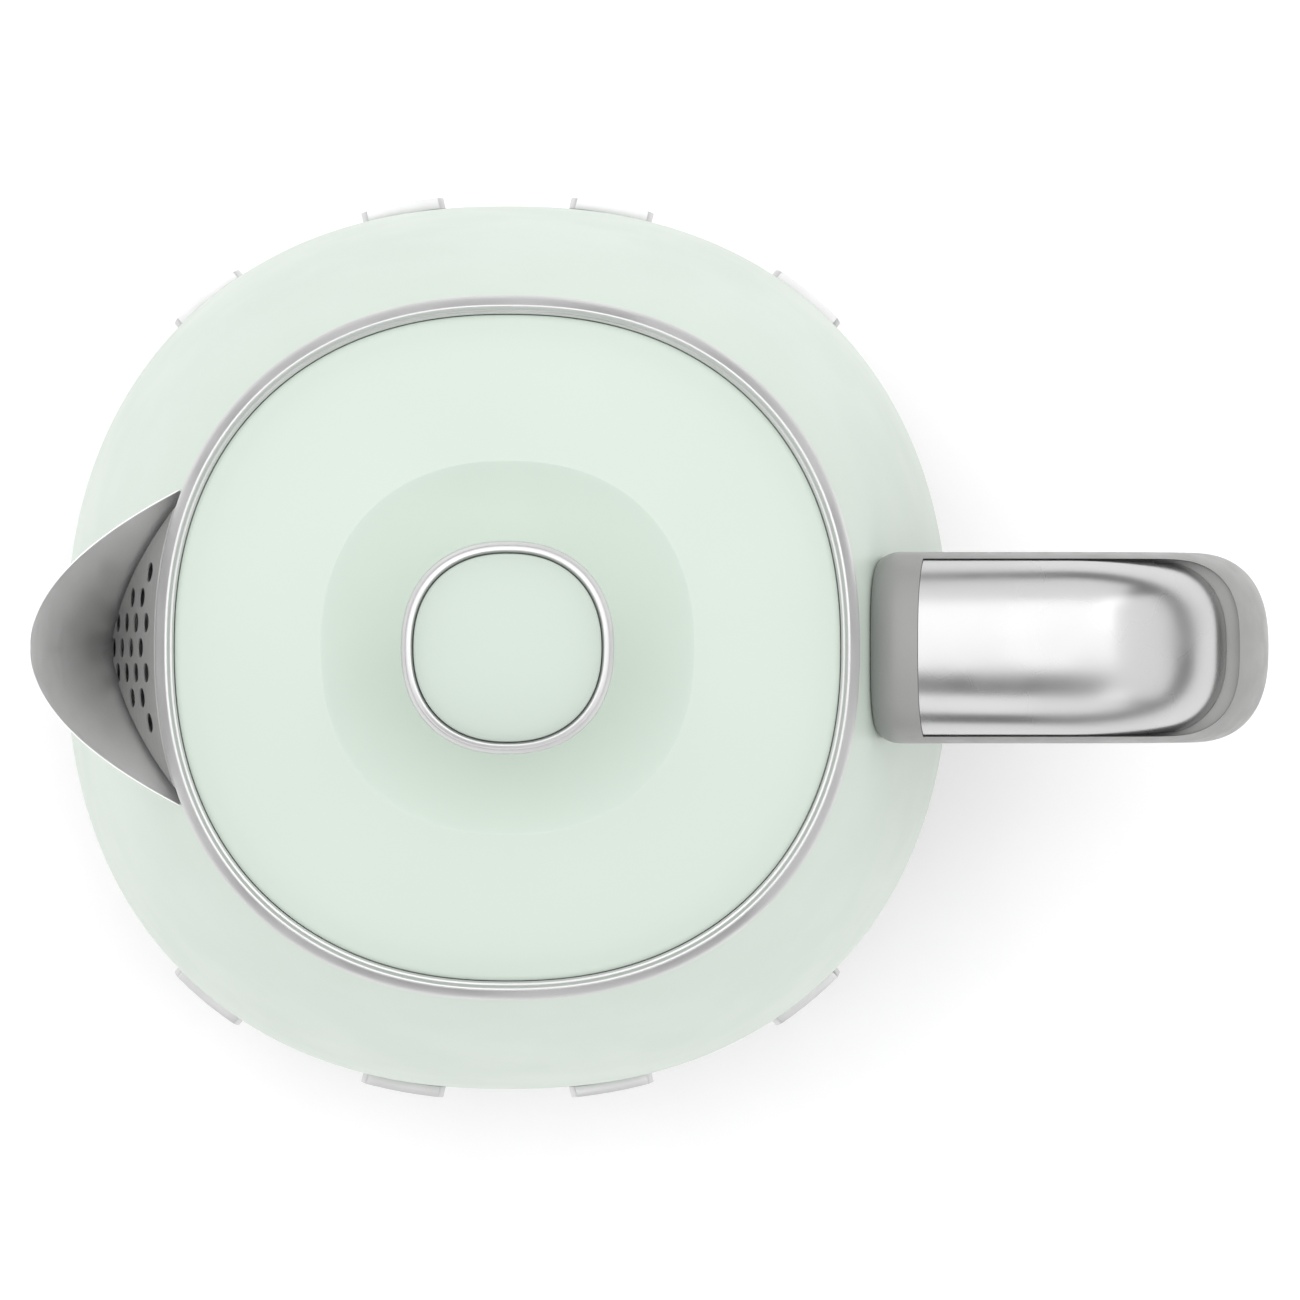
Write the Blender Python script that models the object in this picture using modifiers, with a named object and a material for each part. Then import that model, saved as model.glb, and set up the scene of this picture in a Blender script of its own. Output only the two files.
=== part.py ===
"""Cordless electric jug kettle on its power base.

The kettle's axis is Z and the table is z = 0. The spout points along -X and the handle along +X.
Lengths are in metres; MM turns the millimetres used here into metres.
"""

import math

import bmesh
import bpy
from mathutils import Vector

MM = 0.001
GAP = 0.3 * MM  # between pieces that touch on the real kettle
SEGMENTS = 40  # round the large turned pieces
SMALL_SEGMENTS = 24  # round the small ones

# The jug's outer wall: an egg whose plan is a circle at the foot and a soft square above.
WIDEST_RADIUS = 84.3 * MM
WIDEST_HEIGHT = 70 * MM
RIM_RADIUS = 63.2 * MM
RIM_HEIGHT = 203 * MM
FOOT_RADIUS = 79 * MM
FOOT_HEIGHT = 28 * MM
WALL = 1.0 * MM
PLAN_POWER = 2.26  # a circle is 2
ROUND_BELOW = 50 * MM
SQUARE_ABOVE = 90 * MM

# Lid, collar and knob
COLLAR_INNER = 60.5 * MM
COLLAR_OUTER = 63.9 * MM
COLLAR_TOP = 206.8 * MM
LID_RADIUS = 60.0 * MM
LID_EDGE_HEIGHT = 205 * MM
LID_SKIN = 1.2 * MM
DISH_RADIUS = 33.7 * MM
DISH_RIM_HEIGHT = 218.6 * MM
DISH_FLOOR_HEIGHT = 213 * MM
KNOB_RADIUS = 19.1 * MM
KNOB_TOP = 248 * MM
LID_PIVOT = (50 * MM, 205.2 * MM)  # x and z of the hinge axis, which runs along Y

# Spout: a beak whose rim is a parabola in plan
SPOUT_TIP = 85.9 * MM  # inside the sheet
SPOUT_RIM_FACTOR = 30 * MM  # half width squared over the distance from the tip
SPOUT_DEPTH = 44 * MM
SPOUT_DEPTH_LENGTH = 9.45 * MM
SPOUT_RISE = 0.12  # of the rim towards the tip
SPOUT_WALL = 0.8 * MM
STRAINER_HOLE_RADIUS = 1.8 * MM
STRAINER_PITCH_Y = 4.57 * MM
STRAINER_PITCH_Z = 7.05 * MM
STRAINER_LOWEST_HOLE = 170.8 * MM

# Handle
HANDLE_HALF_WIDTH = 17.5 * MM
HANDLE_TOP_AXIS = 184.5 * MM
HANDLE_RISE = 15 * MM  # from the sweep line to the outer face
HANDLE_DROP = 9.5 * MM  # from the sweep line to the grip side
HANDLE_FRONT = 67.3 * MM
HANDLE_BEND_START = 101.5 * MM
HANDLE_BEND_RADIUS = 24 * MM
HANDLE_FOOT_AXIS = 51 * MM
HANDLE_FOOT_RISE = 11 * MM
COVER_FRONT = 74.6 * MM
COVER_HALF_WIDTH = 16.1 * MM
COVER_BEND_RADIUS = 15 * MM
COVER_END = 152 * MM
COVER_SKIN = 1.2 * MM
COVER_POWER = 2.6
COVER_EDGE = 7.3 * MM  # from the sweep line to the cover's lower edge
COVER_FLARE = 1.0 * MM  # makes the cover flush with the frame along the top
POCKET_END = 134.1 * MM  # x of the pocket's wall behind the cover's bend
POCKET_TOP = 34 * MM  # above the bend's centre

# Bottom compartment
PLATE_HEIGHT = 52 * MM
PLATE_RADIUS = 77.6 * MM
SWITCH_PIVOT = (70 * MM, 33.5 * MM)
TRIP_PIVOT = (56 * MM, 34.5 * MM)
STEAM_HEIGHT = 44 * MM

# Power base
BASE_RADIUS = 77 * MM
BASE_TOP = 18.5 * MM
PLUG_RADIUS = 15.5 * MM
PLUG_TOP = 33 * MM
SOCKET_BORE = 16 * MM
SOCKET_RADIUS = 19 * MM


# ---------- scene, materials and small helpers ----------

for old in list(bpy.data.objects):
    bpy.data.objects.remove(old, do_unlink=True)

PARTS = bpy.data.collections.new("jug_kettle")
CUTTERS = bpy.data.collections.new("cutters")
bpy.context.scene.collection.children.link(PARTS)
bpy.context.scene.collection.children.link(CUTTERS)


def material(name, colour, roughness, metallic=0.0):
    made = bpy.data.materials.new(name)
    made.use_nodes = True
    shader = made.node_tree.nodes["Principled BSDF"]
    shader.inputs["Base Color"].default_value = (*colour, 1)
    shader.inputs["Roughness"].default_value = roughness
    shader.inputs["Metallic"].default_value = metallic
    return made


MINT = material("mint_enamel", (0.70, 0.83, 0.73), 0.25)
CHROME = material("chrome", (0.80, 0.80, 0.81), 0.12, 1.0)
STEEL = material("brushed_steel", (0.55, 0.55, 0.55), 0.35, 1.0)
GREY = material("grey_plastic", (0.45, 0.45, 0.45), 0.5)
DARK = material("dark_plastic", (0.05, 0.05, 0.055), 0.5)
RUBBER = material("silicone", (0.35, 0.36, 0.36), 0.7)
BRASS = material("brass", (0.80, 0.62, 0.30), 0.3, 1.0)
CLEAR = material("clear_plastic", (0.85, 0.90, 0.92), 0.1)
LENS = material("pilot_lens", (0.85, 0.25, 0.18), 0.2)


def add(name, mesh, finish=None):
    """A new object. One with a finish is a part, and one without is a cutter."""
    obj = bpy.data.objects.new(name, mesh)
    if finish is None:
        obj.hide_render = True
        obj.display_type = "WIRE"
        CUTTERS.objects.link(obj)
    else:
        mesh.materials.clear()
        mesh.materials.append(finish)
        PARTS.objects.link(obj)
        if len(mesh.polygons):
            mesh.shade_smooth()
            mesh.set_sharp_from_angle(angle=math.radians(35))
    return obj


def closed_mesh(obj):
    """The evaluated shape of obj as one welded mesh facing out. obj is removed."""
    graph = bpy.context.evaluated_depsgraph_get()
    mesh = bpy.data.meshes.new_from_object(obj.evaluated_get(graph))
    mesh.transform(obj.matrix_world)
    bpy.data.objects.remove(obj, do_unlink=True)
    work = bmesh.new()
    work.from_mesh(mesh)
    bmesh.ops.remove_doubles(work, verts=work.verts, dist=0.01 * MM)
    bmesh.ops.recalc_face_normals(work, faces=work.faces)
    work.to_mesh(mesh)
    work.free()
    return mesh


def boolean(obj, tool, operation):
    modifier = obj.modifiers.new(operation.lower(), "BOOLEAN")
    modifier.operation = operation
    modifier.solver = "EXACT"
    modifier.object = tool


def cut(obj, *tools):
    for tool in tools:
        boolean(obj, tool, "DIFFERENCE")


def smoothstep(value):
    share = min(1.0, max(0.0, value))
    return share * share * (3 - 2 * share)


# ---------- turned shapes with a soft-square plan ----------


def plan_factor(x, y, height):
    """How far the plan stands out from a circle in the direction (x, y) at this height."""
    reach = math.hypot(x, y)
    if reach < 1e-9:
        return 1.0
    power_sum = abs(x / reach) ** PLAN_POWER + abs(y / reach) ** PLAN_POWER
    share = smoothstep((height - ROUND_BELOW) / (SQUARE_ABOVE - ROUND_BELOW))
    return 1 + share * (power_sum ** (-1 / PLAN_POWER) - 1)


def turned(name, profile, finish=None, segments=SEGMENTS, squared=False):
    """Turns a profile of (radius, height) points round Z. A profile off the axis is a closed loop."""
    outline = bpy.data.meshes.new(name)
    points = [(radius, 0, height) for radius, height in profile]
    edges = [(i, i + 1) for i in range(len(points) - 1)]
    if profile[0][0] > 0 or profile[-1][0] > 0:
        edges.append((len(points) - 1, 0))
    outline.from_pydata(points, edges, [])
    blank = bpy.data.objects.new(name, outline)
    bpy.context.scene.collection.objects.link(blank)
    screw = blank.modifiers.new("turn", "SCREW")
    screw.steps = screw.render_steps = segments
    screw.use_merge_vertices = True
    screw.merge_threshold = 0.01 * MM
    mesh = closed_mesh(blank)
    if squared:
        for vertex in mesh.vertices:
            x, y, height = vertex.co
            factor = plan_factor(x, y, height)
            vertex.co = (x * factor, y * factor, height)
    mesh.name = name
    return add(name, mesh, finish)


def wall_radius(height):
    """Radius of the jug's outer wall, measured along X, at this height."""
    if height >= WIDEST_HEIGHT:
        end_radius, end_height = RIM_RADIUS, RIM_HEIGHT
    else:
        end_radius, end_height = FOOT_RADIUS, FOOT_HEIGHT
    drop = 1 - (end_radius / WIDEST_RADIUS) ** 2
    reach = (end_height - WIDEST_HEIGHT) ** 2 / drop
    return WIDEST_RADIUS * math.sqrt(max(0.0, 1 - (height - WIDEST_HEIGHT) ** 2 / reach))


def wall_line(offset, low, high, steps):
    heights = [low + (high - low) * i / steps for i in range(steps + 1)]
    return [(wall_radius(height) + offset, height) for height in heights]


def wall_shell(name, outer, inner, low, high, finish=None, steps=9):
    """The layer of the jug's wall between two offsets from its outer face."""
    profile = wall_line(inner, low, high, steps) + wall_line(outer, low, high, steps)[::-1]
    return turned(name, profile, finish, squared=True)


def wall_solid(name, offset, low=20 * MM, high=208 * MM):
    """Everything inside the jug's outer face moved by offset, as a cutter."""
    line = wall_line(offset, low, high, 20)
    return turned(name, [(0, low)] + line + [(0, high)], squared=True)


# ---------- primitives placed where they belong ----------


def cylinder(name, radius, start, end, finish=None, vertices=SMALL_SEGMENTS):
    """A rod from start to end."""
    start, end = Vector(start), Vector(end)
    work = bmesh.new()
    bmesh.ops.create_cone(
        work,
        cap_ends=True,
        segments=vertices,
        radius1=radius,
        radius2=radius,
        depth=(end - start).length,
    )
    mesh = bpy.data.meshes.new(name)
    work.to_mesh(mesh)
    work.free()
    rod = add(name, mesh, finish)
    rod.location = (start + end) / 2
    rod.rotation_euler = (end - start).to_track_quat("Z", "Y").to_euler()
    return rod


def box(name, low, high, finish=None):
    """A block between two corners."""
    low, high = Vector(low), Vector(high)
    work = bmesh.new()
    bmesh.ops.create_cube(work, size=1)
    bmesh.ops.scale(work, vec=high - low, verts=work.verts)
    mesh = bpy.data.meshes.new(name)
    work.to_mesh(mesh)
    work.free()
    block = add(name, mesh, finish)
    block.location = (low + high) / 2
    return block


def side_plate(name, outline, y_low, y_high, finish=None):
    """A flat outline of (x, z) points, given thickness along Y."""
    flat = bpy.data.curves.new(name, "CURVE")
    flat.dimensions = "2D"
    flat.fill_mode = "BOTH"
    flat.extrude = (y_high - y_low) / 2
    spline = flat.splines.new("POLY")
    spline.points.add(len(outline) - 1)
    for point, (x, z) in zip(spline.points, outline):
        point.co = (x, z, 0, 1)
    spline.use_cyclic_u = True
    blank = bpy.data.objects.new(name, flat)
    bpy.context.scene.collection.objects.link(blank)
    blank.rotation_euler = (math.radians(90), 0, 0)
    blank.location = (0, (y_low + y_high) / 2, 0)
    bpy.context.view_layer.update()
    return add(name, closed_mesh(blank), finish)


def tube(name, points, radius, finish=None, bore=0.0, roundness=2):
    """A round bar along the points, or a hose when it has a bore."""
    line = bpy.data.curves.new(name, "CURVE")
    line.dimensions = "3D"
    line.bevel_depth = radius
    line.bevel_resolution = roundness
    line.use_fill_caps = bore == 0
    spline = line.splines.new("POLY")
    spline.points.add(len(points) - 1)
    for point, place in zip(spline.points, points):
        point.co = (*place, 1)
    blank = bpy.data.objects.new(name, line)
    bpy.context.scene.collection.objects.link(blank)
    mesh = closed_mesh(blank)
    made = add(name, mesh, finish)
    if bore:
        hollow = made.modifiers.new("hollow", "SOLIDIFY")
        hollow.thickness = radius - bore
        hollow.offset = -1
    return made


def lofted(name, sections, finish=None):
    """Joins closed sections of equal counts, one after another, and caps both ends."""
    count = len(sections[0])
    points = [point for section in sections for point in section]
    faces = [tuple(range(count))[::-1]]
    for row in range(len(sections) - 1):
        for i in range(count):
            j = (i + 1) % count
            low, high = row * count, (row + 1) * count
            faces.append((low + i, low + j, high + j, high + i))
    faces.append(tuple(range(len(points) - count, len(points))))
    mesh = bpy.data.meshes.new(name)
    mesh.from_pydata(points, [], faces)
    work = bmesh.new()
    work.from_mesh(mesh)
    bmesh.ops.recalc_face_normals(work, faces=work.faces)
    work.to_mesh(mesh)
    work.free()
    return add(name, mesh, finish)


def arc(centre, radius, start, end, steps):
    """(point, outward direction) pairs in the XZ plane; angles are in degrees from +X to +Z."""
    found = []
    for i in range(steps + 1):
        angle = math.radians(start + (end - start) * i / steps)
        outward = Vector((math.cos(angle), 0, math.sin(angle)))
        found.append((Vector((centre[0], 0, centre[1])) + outward * radius, outward))
    return found


# ---------- jug body ----------


def jug_body():
    shell = wall_shell("jug_shell", 0, -WALL, FOOT_HEIGHT, RIM_HEIGHT, MINT)
    cut(shell, SPOUT_WINDOW, GAUGE_SLOT, SWITCH_SLOT, *STEAM_HOLES, *SCREW_HOLES)
    bead = (COLLAR_INNER + COLLAR_OUTER) / 2
    turned(
        "collar_ring",
        [
            (COLLAR_INNER, 198.5 * MM),
            (COLLAR_INNER, COLLAR_TOP - 1.2 * MM),
            (COLLAR_INNER + 0.6 * MM, COLLAR_TOP - 0.3 * MM),
            (bead, COLLAR_TOP),
            (COLLAR_OUTER - 0.7 * MM, COLLAR_TOP - 0.7 * MM),
            (COLLAR_OUTER, COLLAR_TOP - 2.2 * MM),
            (COLLAR_OUTER, RIM_HEIGHT + GAP),
            (COLLAR_INNER + WALL, RIM_HEIGHT + GAP),
            (COLLAR_INNER + WALL, 198.5 * MM),
        ],
        CHROME,
        squared=True,
    )
    turned(
        "bottom_trim",
        [
            (76 * MM, 21.5 * MM),
            (77.5 * MM, 20.6 * MM),
            (79.4 * MM, 22.5 * MM),
            (79.8 * MM, FOOT_HEIGHT - GAP),
            (76 * MM, FOOT_HEIGHT - GAP),
        ],
        CHROME,
    )


def side_bars():
    """Plain bars that sit on each side of the wall, four to a side."""
    low, high = 64 * MM, 76 * MM
    length = 16 * MM
    reach = WIDEST_RADIUS
    leans = (-40.6, -13.4, 13.4, 40.6)
    angles = [math.radians(side + lean) for side in (90, -90) for lean in leans]
    for number, angle in enumerate(angles, start=1):
        name = f"side_bar_{number}"
        bar = wall_shell(name, 2.4 * MM, GAP, low, high, CHROME, steps=2)
        block = box(f"{name}_block", (-reach / 2, -length / 2, low - MM), (reach / 2, length / 2, high + MM))
        block.location += Vector((math.cos(angle), math.sin(angle), 0)) * reach
        block.rotation_euler = (0, 0, angle)
        boolean(bar, block, "INTERSECT")


# ---------- spout and strainer ----------


def spout_rim_height(x):
    return RIM_HEIGHT - 0.4 * MM + SPOUT_RISE * (-59 * MM - x)


def spout_body(name, grow, low_x, finish=None, lift=0.0):
    """The space inside the beak, grown outwards by grow, from low_x out to the tip."""
    stations = 10
    tip = -SPOUT_TIP - grow
    sections = []
    for i in range(stations + 1):
        share = (i / stations) ** 2
        distance = max(0.02 * MM, (low_x - tip) * share)
        x = tip + distance
        half = math.sqrt(SPOUT_RIM_FACTOR * distance) + 0.8 * grow - 0.4 * MM * min(1, distance / MM)
        depth = SPOUT_DEPTH * (1 - math.exp(-((distance / SPOUT_DEPTH_LENGTH) ** 1.3)))
        top = spout_rim_height(x) + lift
        floor = spout_rim_height(x) - depth - grow
        section = []
        for j in range(17):
            across = -1 + j / 8
            height = floor + (spout_rim_height(x) - floor) * abs(across) ** 1.45
            section.append(Vector((x, across * half, height)))
        section[0].z = section[-1].z = top
        sections.append(section)
    return lofted(name, sections, finish)


def spout_parts():
    spout = spout_body("spout", SPOUT_WALL, -56 * MM, STEEL)
    inside = spout_body("spout_channel", 0, -54 * MM, lift=4 * MM)
    cut(spout, inside, BODY_INSIDE, COLLAR_ROOM)
    strainer = wall_shell("strainer", -0.2 * MM, -1.0 * MM, 162 * MM, 199.5 * MM, STEEL, steps=5)
    boolean(strainer, spout_body("strainer_outline", -GAP, -54 * MM, lift=4 * MM), "INTERSECT")
    holes = []
    for column in range(-3, 4):
        y = column * STRAINER_PITCH_Y
        for row in range(5):
            z = STRAINER_LOWEST_HOLE + (row + 0.5 * (column % 2)) * STRAINER_PITCH_Z
            if z > 197 * MM or z < STRAINER_LOWEST_HOLE + 122 * y * y:
                continue
            hole = cylinder(
                f"strainer_hole_{column}_{row}",
                STRAINER_HOLE_RADIUS,
                (-80 * MM, y, z + 4 * MM),
                (-54 * MM, y, z - 5 * MM),
                vertices=10,
            )
            holes.append(hole)
    cut(strainer, *holes)


# ---------- handle ----------


def handle_line(bend_radius, front, end_height=None):
    """(point, outward) pairs from the jug along the top and round the bend, then down."""
    bend_centre = (HANDLE_BEND_START, HANDLE_TOP_AXIS - bend_radius)
    up = Vector((0, 0, 1))
    line = [(Vector((front, 0, HANDLE_TOP_AXIS)), up)]
    line += arc(bend_centre, bend_radius, 90, 0, 8)
    if end_height is not None:
        end = Vector((HANDLE_BEND_START + bend_radius, 0, end_height))
        line.append((end, Vector((1, 0, 0))))
    return line


def foot_line(back):
    """The handle's lower bend and its run back to the jug."""
    centre = (HANDLE_BEND_START, HANDLE_FOOT_AXIS + HANDLE_BEND_RADIUS)
    line = arc(centre, HANDLE_BEND_RADIUS, 0, -90, 7)
    return line + [(Vector((back, 0, HANDLE_FOOT_AXIS)), Vector((0, 0, -1)))]


def oval(point, outward, half_width, rise, drop, power, count=20):
    """A section across the sweep: a superellipse that is deeper on one side."""
    section = []
    for i in range(count):
        angle = 2 * math.pi * i / count
        across, out = math.cos(angle), math.sin(angle)
        y = half_width * math.copysign(abs(across) ** (2 / power), across)
        reach = (rise if out > 0 else drop) * math.copysign(abs(out) ** (2 / power), out)
        section.append(point + outward * reach + Vector((0, y, 0)))
    return section


def crown(point, outward, half_width, rise, floor, power, count=12):
    """The outer arc of an oval, from one side at height floor over to the other."""
    start = math.asin((floor / rise) ** (power / 2))
    section = []
    for i in range(count + 1):
        angle = start + (math.pi - 2 * start) * i / count
        across, out = math.cos(angle), math.sin(angle)
        y = half_width * math.copysign(abs(across) ** (2 / power), across)
        reach = rise * abs(out) ** (2 / power)
        section.append(point + outward * reach + Vector((0, y, 0)))
    return section


def cover_line(front, end):
    """The cover's sweep line. Its first section leans, so that the cover's edge bows forwards."""
    lean = 0.165
    line = handle_line(COVER_BEND_RADIUS, front + lean * HANDLE_RISE, end)
    line[0] = (line[0][0], Vector((-lean, 0, 1)))
    return line


def pocket_section(point, outward):
    """The room for the cover: square at the top, rounded where it dives behind the bend."""
    across = max(0, outward.x) / (POCKET_END - HANDLE_BEND_START)
    reach = (across**5 + (outward.z / POCKET_TOP) ** 5) ** -0.2
    power = 2.4 + 5.6 * outward.z**2
    half_width = COVER_HALF_WIDTH + 0.15 * MM
    return crown(point, outward, half_width, reach - COVER_BEND_RADIUS, 4 * MM, power)


def handle_parts():
    power = 2.5
    sections = []
    for back, share in ((0, 0.76), (0.8, 0.91), (2.4, 0.985), (5.0, 1.0)):
        point = Vector((HANDLE_FRONT + back * MM, 0, HANDLE_TOP_AXIS))
        up = Vector((0, 0, 1))
        rise = HANDLE_RISE * (0.9 + 0.1 * share)
        sections.append(oval(point, up, HANDLE_HALF_WIDTH * share, rise, HANDLE_DROP, power))
    for point, outward in handle_line(HANDLE_BEND_RADIUS, 90 * MM):
        sections.append(oval(point, outward, HANDLE_HALF_WIDTH, HANDLE_RISE, HANDLE_DROP, power))
    foot = foot_line(74 * MM)
    for i, (point, outward) in enumerate(foot):
        share = smoothstep(i / (len(foot) - 2))
        rise = HANDLE_RISE + (HANDLE_FOOT_RISE - HANDLE_RISE) * share
        sections.append(oval(point, outward, HANDLE_HALF_WIDTH, rise, HANDLE_DROP, power))
    frame = lofted("handle_frame", sections, GREY)

    line = cover_line(COVER_FRONT - GAP, COVER_END - 1.5 * MM)
    pocket = lofted("cover_pocket", [pocket_section(point, outward) for point, outward in line])
    channel = tube("handle_channel", hose_line(57 * MM, 66 * MM), 4.6 * MM)
    cut(frame, BODY_OUTSIDE, pocket, channel, *SCREW_HOLES)

    cover = []
    for point, outward in cover_line(COVER_FRONT, COVER_END):
        half_width, skin = COVER_HALF_WIDTH + COVER_FLARE * outward.z**2, COVER_SKIN
        outer = crown(point, outward, half_width, HANDLE_RISE, COVER_EDGE, COVER_POWER)
        inner = crown(point, outward, half_width - skin, HANDLE_RISE - skin, COVER_EDGE, COVER_POWER)
        cover.append(outer + inner[::-1])
    lofted("handle_cover", cover, CHROME)


def handle_screws():
    for number, (y, z, head, end) in enumerate(SCREWS, start=1):
        name = f"handle_screw_{number}"
        screw = cylinder(name, 2 * MM, (head + 1 * MM, y, z), (end, y, z), STEEL, 12)
        cap = cylinder(f"{name}_head", 3.6 * MM, (head, y, z), (head + 2 * MM, y, z), vertices=12)
        boolean(screw, cap, "UNION")


def hose_line(upper_x, lower_x):
    """From inside the top of the jug, round the handle and back into the bottom."""
    line = [Vector((upper_x, 0, HANDLE_TOP_AXIS))]
    line += [point for point, _ in handle_line(HANDLE_BEND_RADIUS, 80 * MM)]
    line += [point for point, _ in foot_line(97 * MM)]
    line += [Vector((90 * MM, 0, 48.2 * MM)), Vector((84 * MM, 0, 45 * MM))]
    return line + [Vector((x, 0, STEAM_HEIGHT)) for x in (79 * MM, lower_x)]


def steam_hose():
    """Carries steam from the top of the jug, through the handle, to the switch."""
    tube("steam_hose", hose_line(61 * MM, 68 * MM), 3 * MM, RUBBER, bore=2.1 * MM)


# ---------- level gauge ----------


def gauge_parts():
    low, high = 80 * MM, 165 * MM
    clear = wall_shell("gauge_window", 0.5 * MM, -2.4 * MM, 76 * MM, 169 * MM, CLEAR, steps=6)
    pane = box("pane_block", (60 * MM, -4.2 * MM, low + GAP), (95 * MM, 4.2 * MM, high - GAP))
    boolean(clear, pane, "INTERSECT")
    flange = wall_shell("gauge_flange", -2.3 * MM, -3.5 * MM, 76 * MM, 169 * MM, steps=6)
    gasket = wall_shell("gauge_gasket", -1.3 * MM, -2.0 * MM, 76 * MM, 169 * MM, RUBBER, steps=6)
    border = box("gauge_border", (60 * MM, -7.5 * MM, 77 * MM), (95 * MM, 7.5 * MM, 168 * MM))
    hole = box("gasket_hole", (55 * MM, -4.6 * MM, low), (99 * MM, 4.6 * MM, high))
    boolean(flange, border, "INTERSECT")
    boolean(clear, flange, "UNION")
    boolean(gasket, border, "INTERSECT")
    cut(gasket, hole)


# ---------- lid and knob ----------


def lid_line(offset):
    """(radius, height) points over the lid's dome, into its moat and up to the knob's foot."""
    line = []
    for i in range(5):
        share = i / 4
        radius = LID_RADIUS + (DISH_RADIUS - LID_RADIUS) * share
        height = LID_EDGE_HEIGHT + (DISH_RIM_HEIGHT - LID_EDGE_HEIGHT) * share ** 0.82
        line.append((radius, height - offset))
    moat = 9 * MM
    for i in range(1, 5):
        share = i / 4
        radius = DISH_RADIUS - (DISH_RADIUS - moat) * share
        height = DISH_RIM_HEIGHT + (DISH_FLOOR_HEIGHT - DISH_RIM_HEIGHT) * math.sin(
            share * math.pi / 2
        )
        line.append((radius, height - offset))
    return line


def lid_parts():
    outer = lid_line(0)
    inner = lid_line(LID_SKIN)
    hole = 3 * MM
    underside = [(hole, outer[-1][1]), (hole, inner[-1][1])] + inner[:0:-1]
    foot = [(LID_RADIUS - 1.6 * MM, inner[0][1]), (LID_RADIUS, inner[0][1])]
    turned("lid_dome", outer + underside + foot, MINT, squared=True)
    pan = turned(
        "lid_pan",
        [
            (0, 199.2 * MM),
            (57 * MM, 199.2 * MM),
            (57 * MM, 203.3 * MM),
            (56.2 * MM, 203.3 * MM),
            (56.2 * MM, 200 * MM),
            (0, 200 * MM),
        ],
        STEEL,
        squared=True,
    )
    notch = box("pan_notch", (38.8 * MM, -16.8 * MM, 195 * MM), (53.4 * MM, 16.8 * MM, 206 * MM))
    cut(pan, notch)
    turned(
        "lid_seal",
        [
            (57.3 * MM, 199.6 * MM),
            (59.2 * MM, 199.6 * MM),
            (60.1 * MM, 200.6 * MM),
            (59.2 * MM, 201.4 * MM),
            (59.2 * MM, 202.4 * MM),
            (57.3 * MM, 202.4 * MM),
        ],
        RUBBER,
        squared=True,
    )
    turned(
        "knob_body",
        [
            (0, 213.4 * MM),
            (9.5 * MM, 213.4 * MM),
            (8.6 * MM, 218 * MM),
            (9.6 * MM, 224 * MM),
            (13 * MM, 230.5 * MM),
            (17.6 * MM, 236 * MM),
            (18.6 * MM, 238.6 * MM),
            (15.5 * MM, 238.6 * MM),
            (15.5 * MM, 241.5 * MM),
            (0, 241.5 * MM),
        ],
        MINT,
        SMALL_SEGMENTS,
        squared=True,
    )
    turned(
        "knob_ring",
        [
            (16.2 * MM, 238.9 * MM),
            (18.6 * MM, 238.9 * MM),
            (KNOB_RADIUS, 240.4 * MM),
            (18.9 * MM, 242.1 * MM),
            (18.2 * MM, 243.1 * MM),
            (17.3 * MM, 243.3 * MM),
            (16.9 * MM, 242.8 * MM),
            (16.9 * MM, 241.0 * MM),
            (16.2 * MM, 241.0 * MM),
        ],
        CHROME,
        SMALL_SEGMENTS,
        squared=True,
    )
    turned(
        "knob_cap",
        [
            (0, 241.8 * MM),
            (16.5 * MM, 241.8 * MM),
            (16.6 * MM, 242.9 * MM),
            (14.5 * MM, 244.9 * MM),
            (10 * MM, 246.9 * MM),
            (5 * MM, 247.8 * MM),
            (0, KNOB_TOP),
        ],
        MINT,
        SMALL_SEGMENTS,
        squared=True,
    )
    screw = cylinder("knob_screw", 2.2 * MM, (0, 0, 208 * MM), (0, 0, 226 * MM), STEEL, 12)
    head = cylinder("knob_screw_head", 5 * MM, (0, 0, 207 * MM), (0, 0, 210.5 * MM), vertices=12)
    boolean(screw, head, "UNION")
    socket = cylinder("knob_screw_hole", 2.5 * MM, (0, 0, 212 * MM), (0, 0, 226.6 * MM), vertices=12)
    cut(bpy.data.objects["knob_body"], socket)


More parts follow.
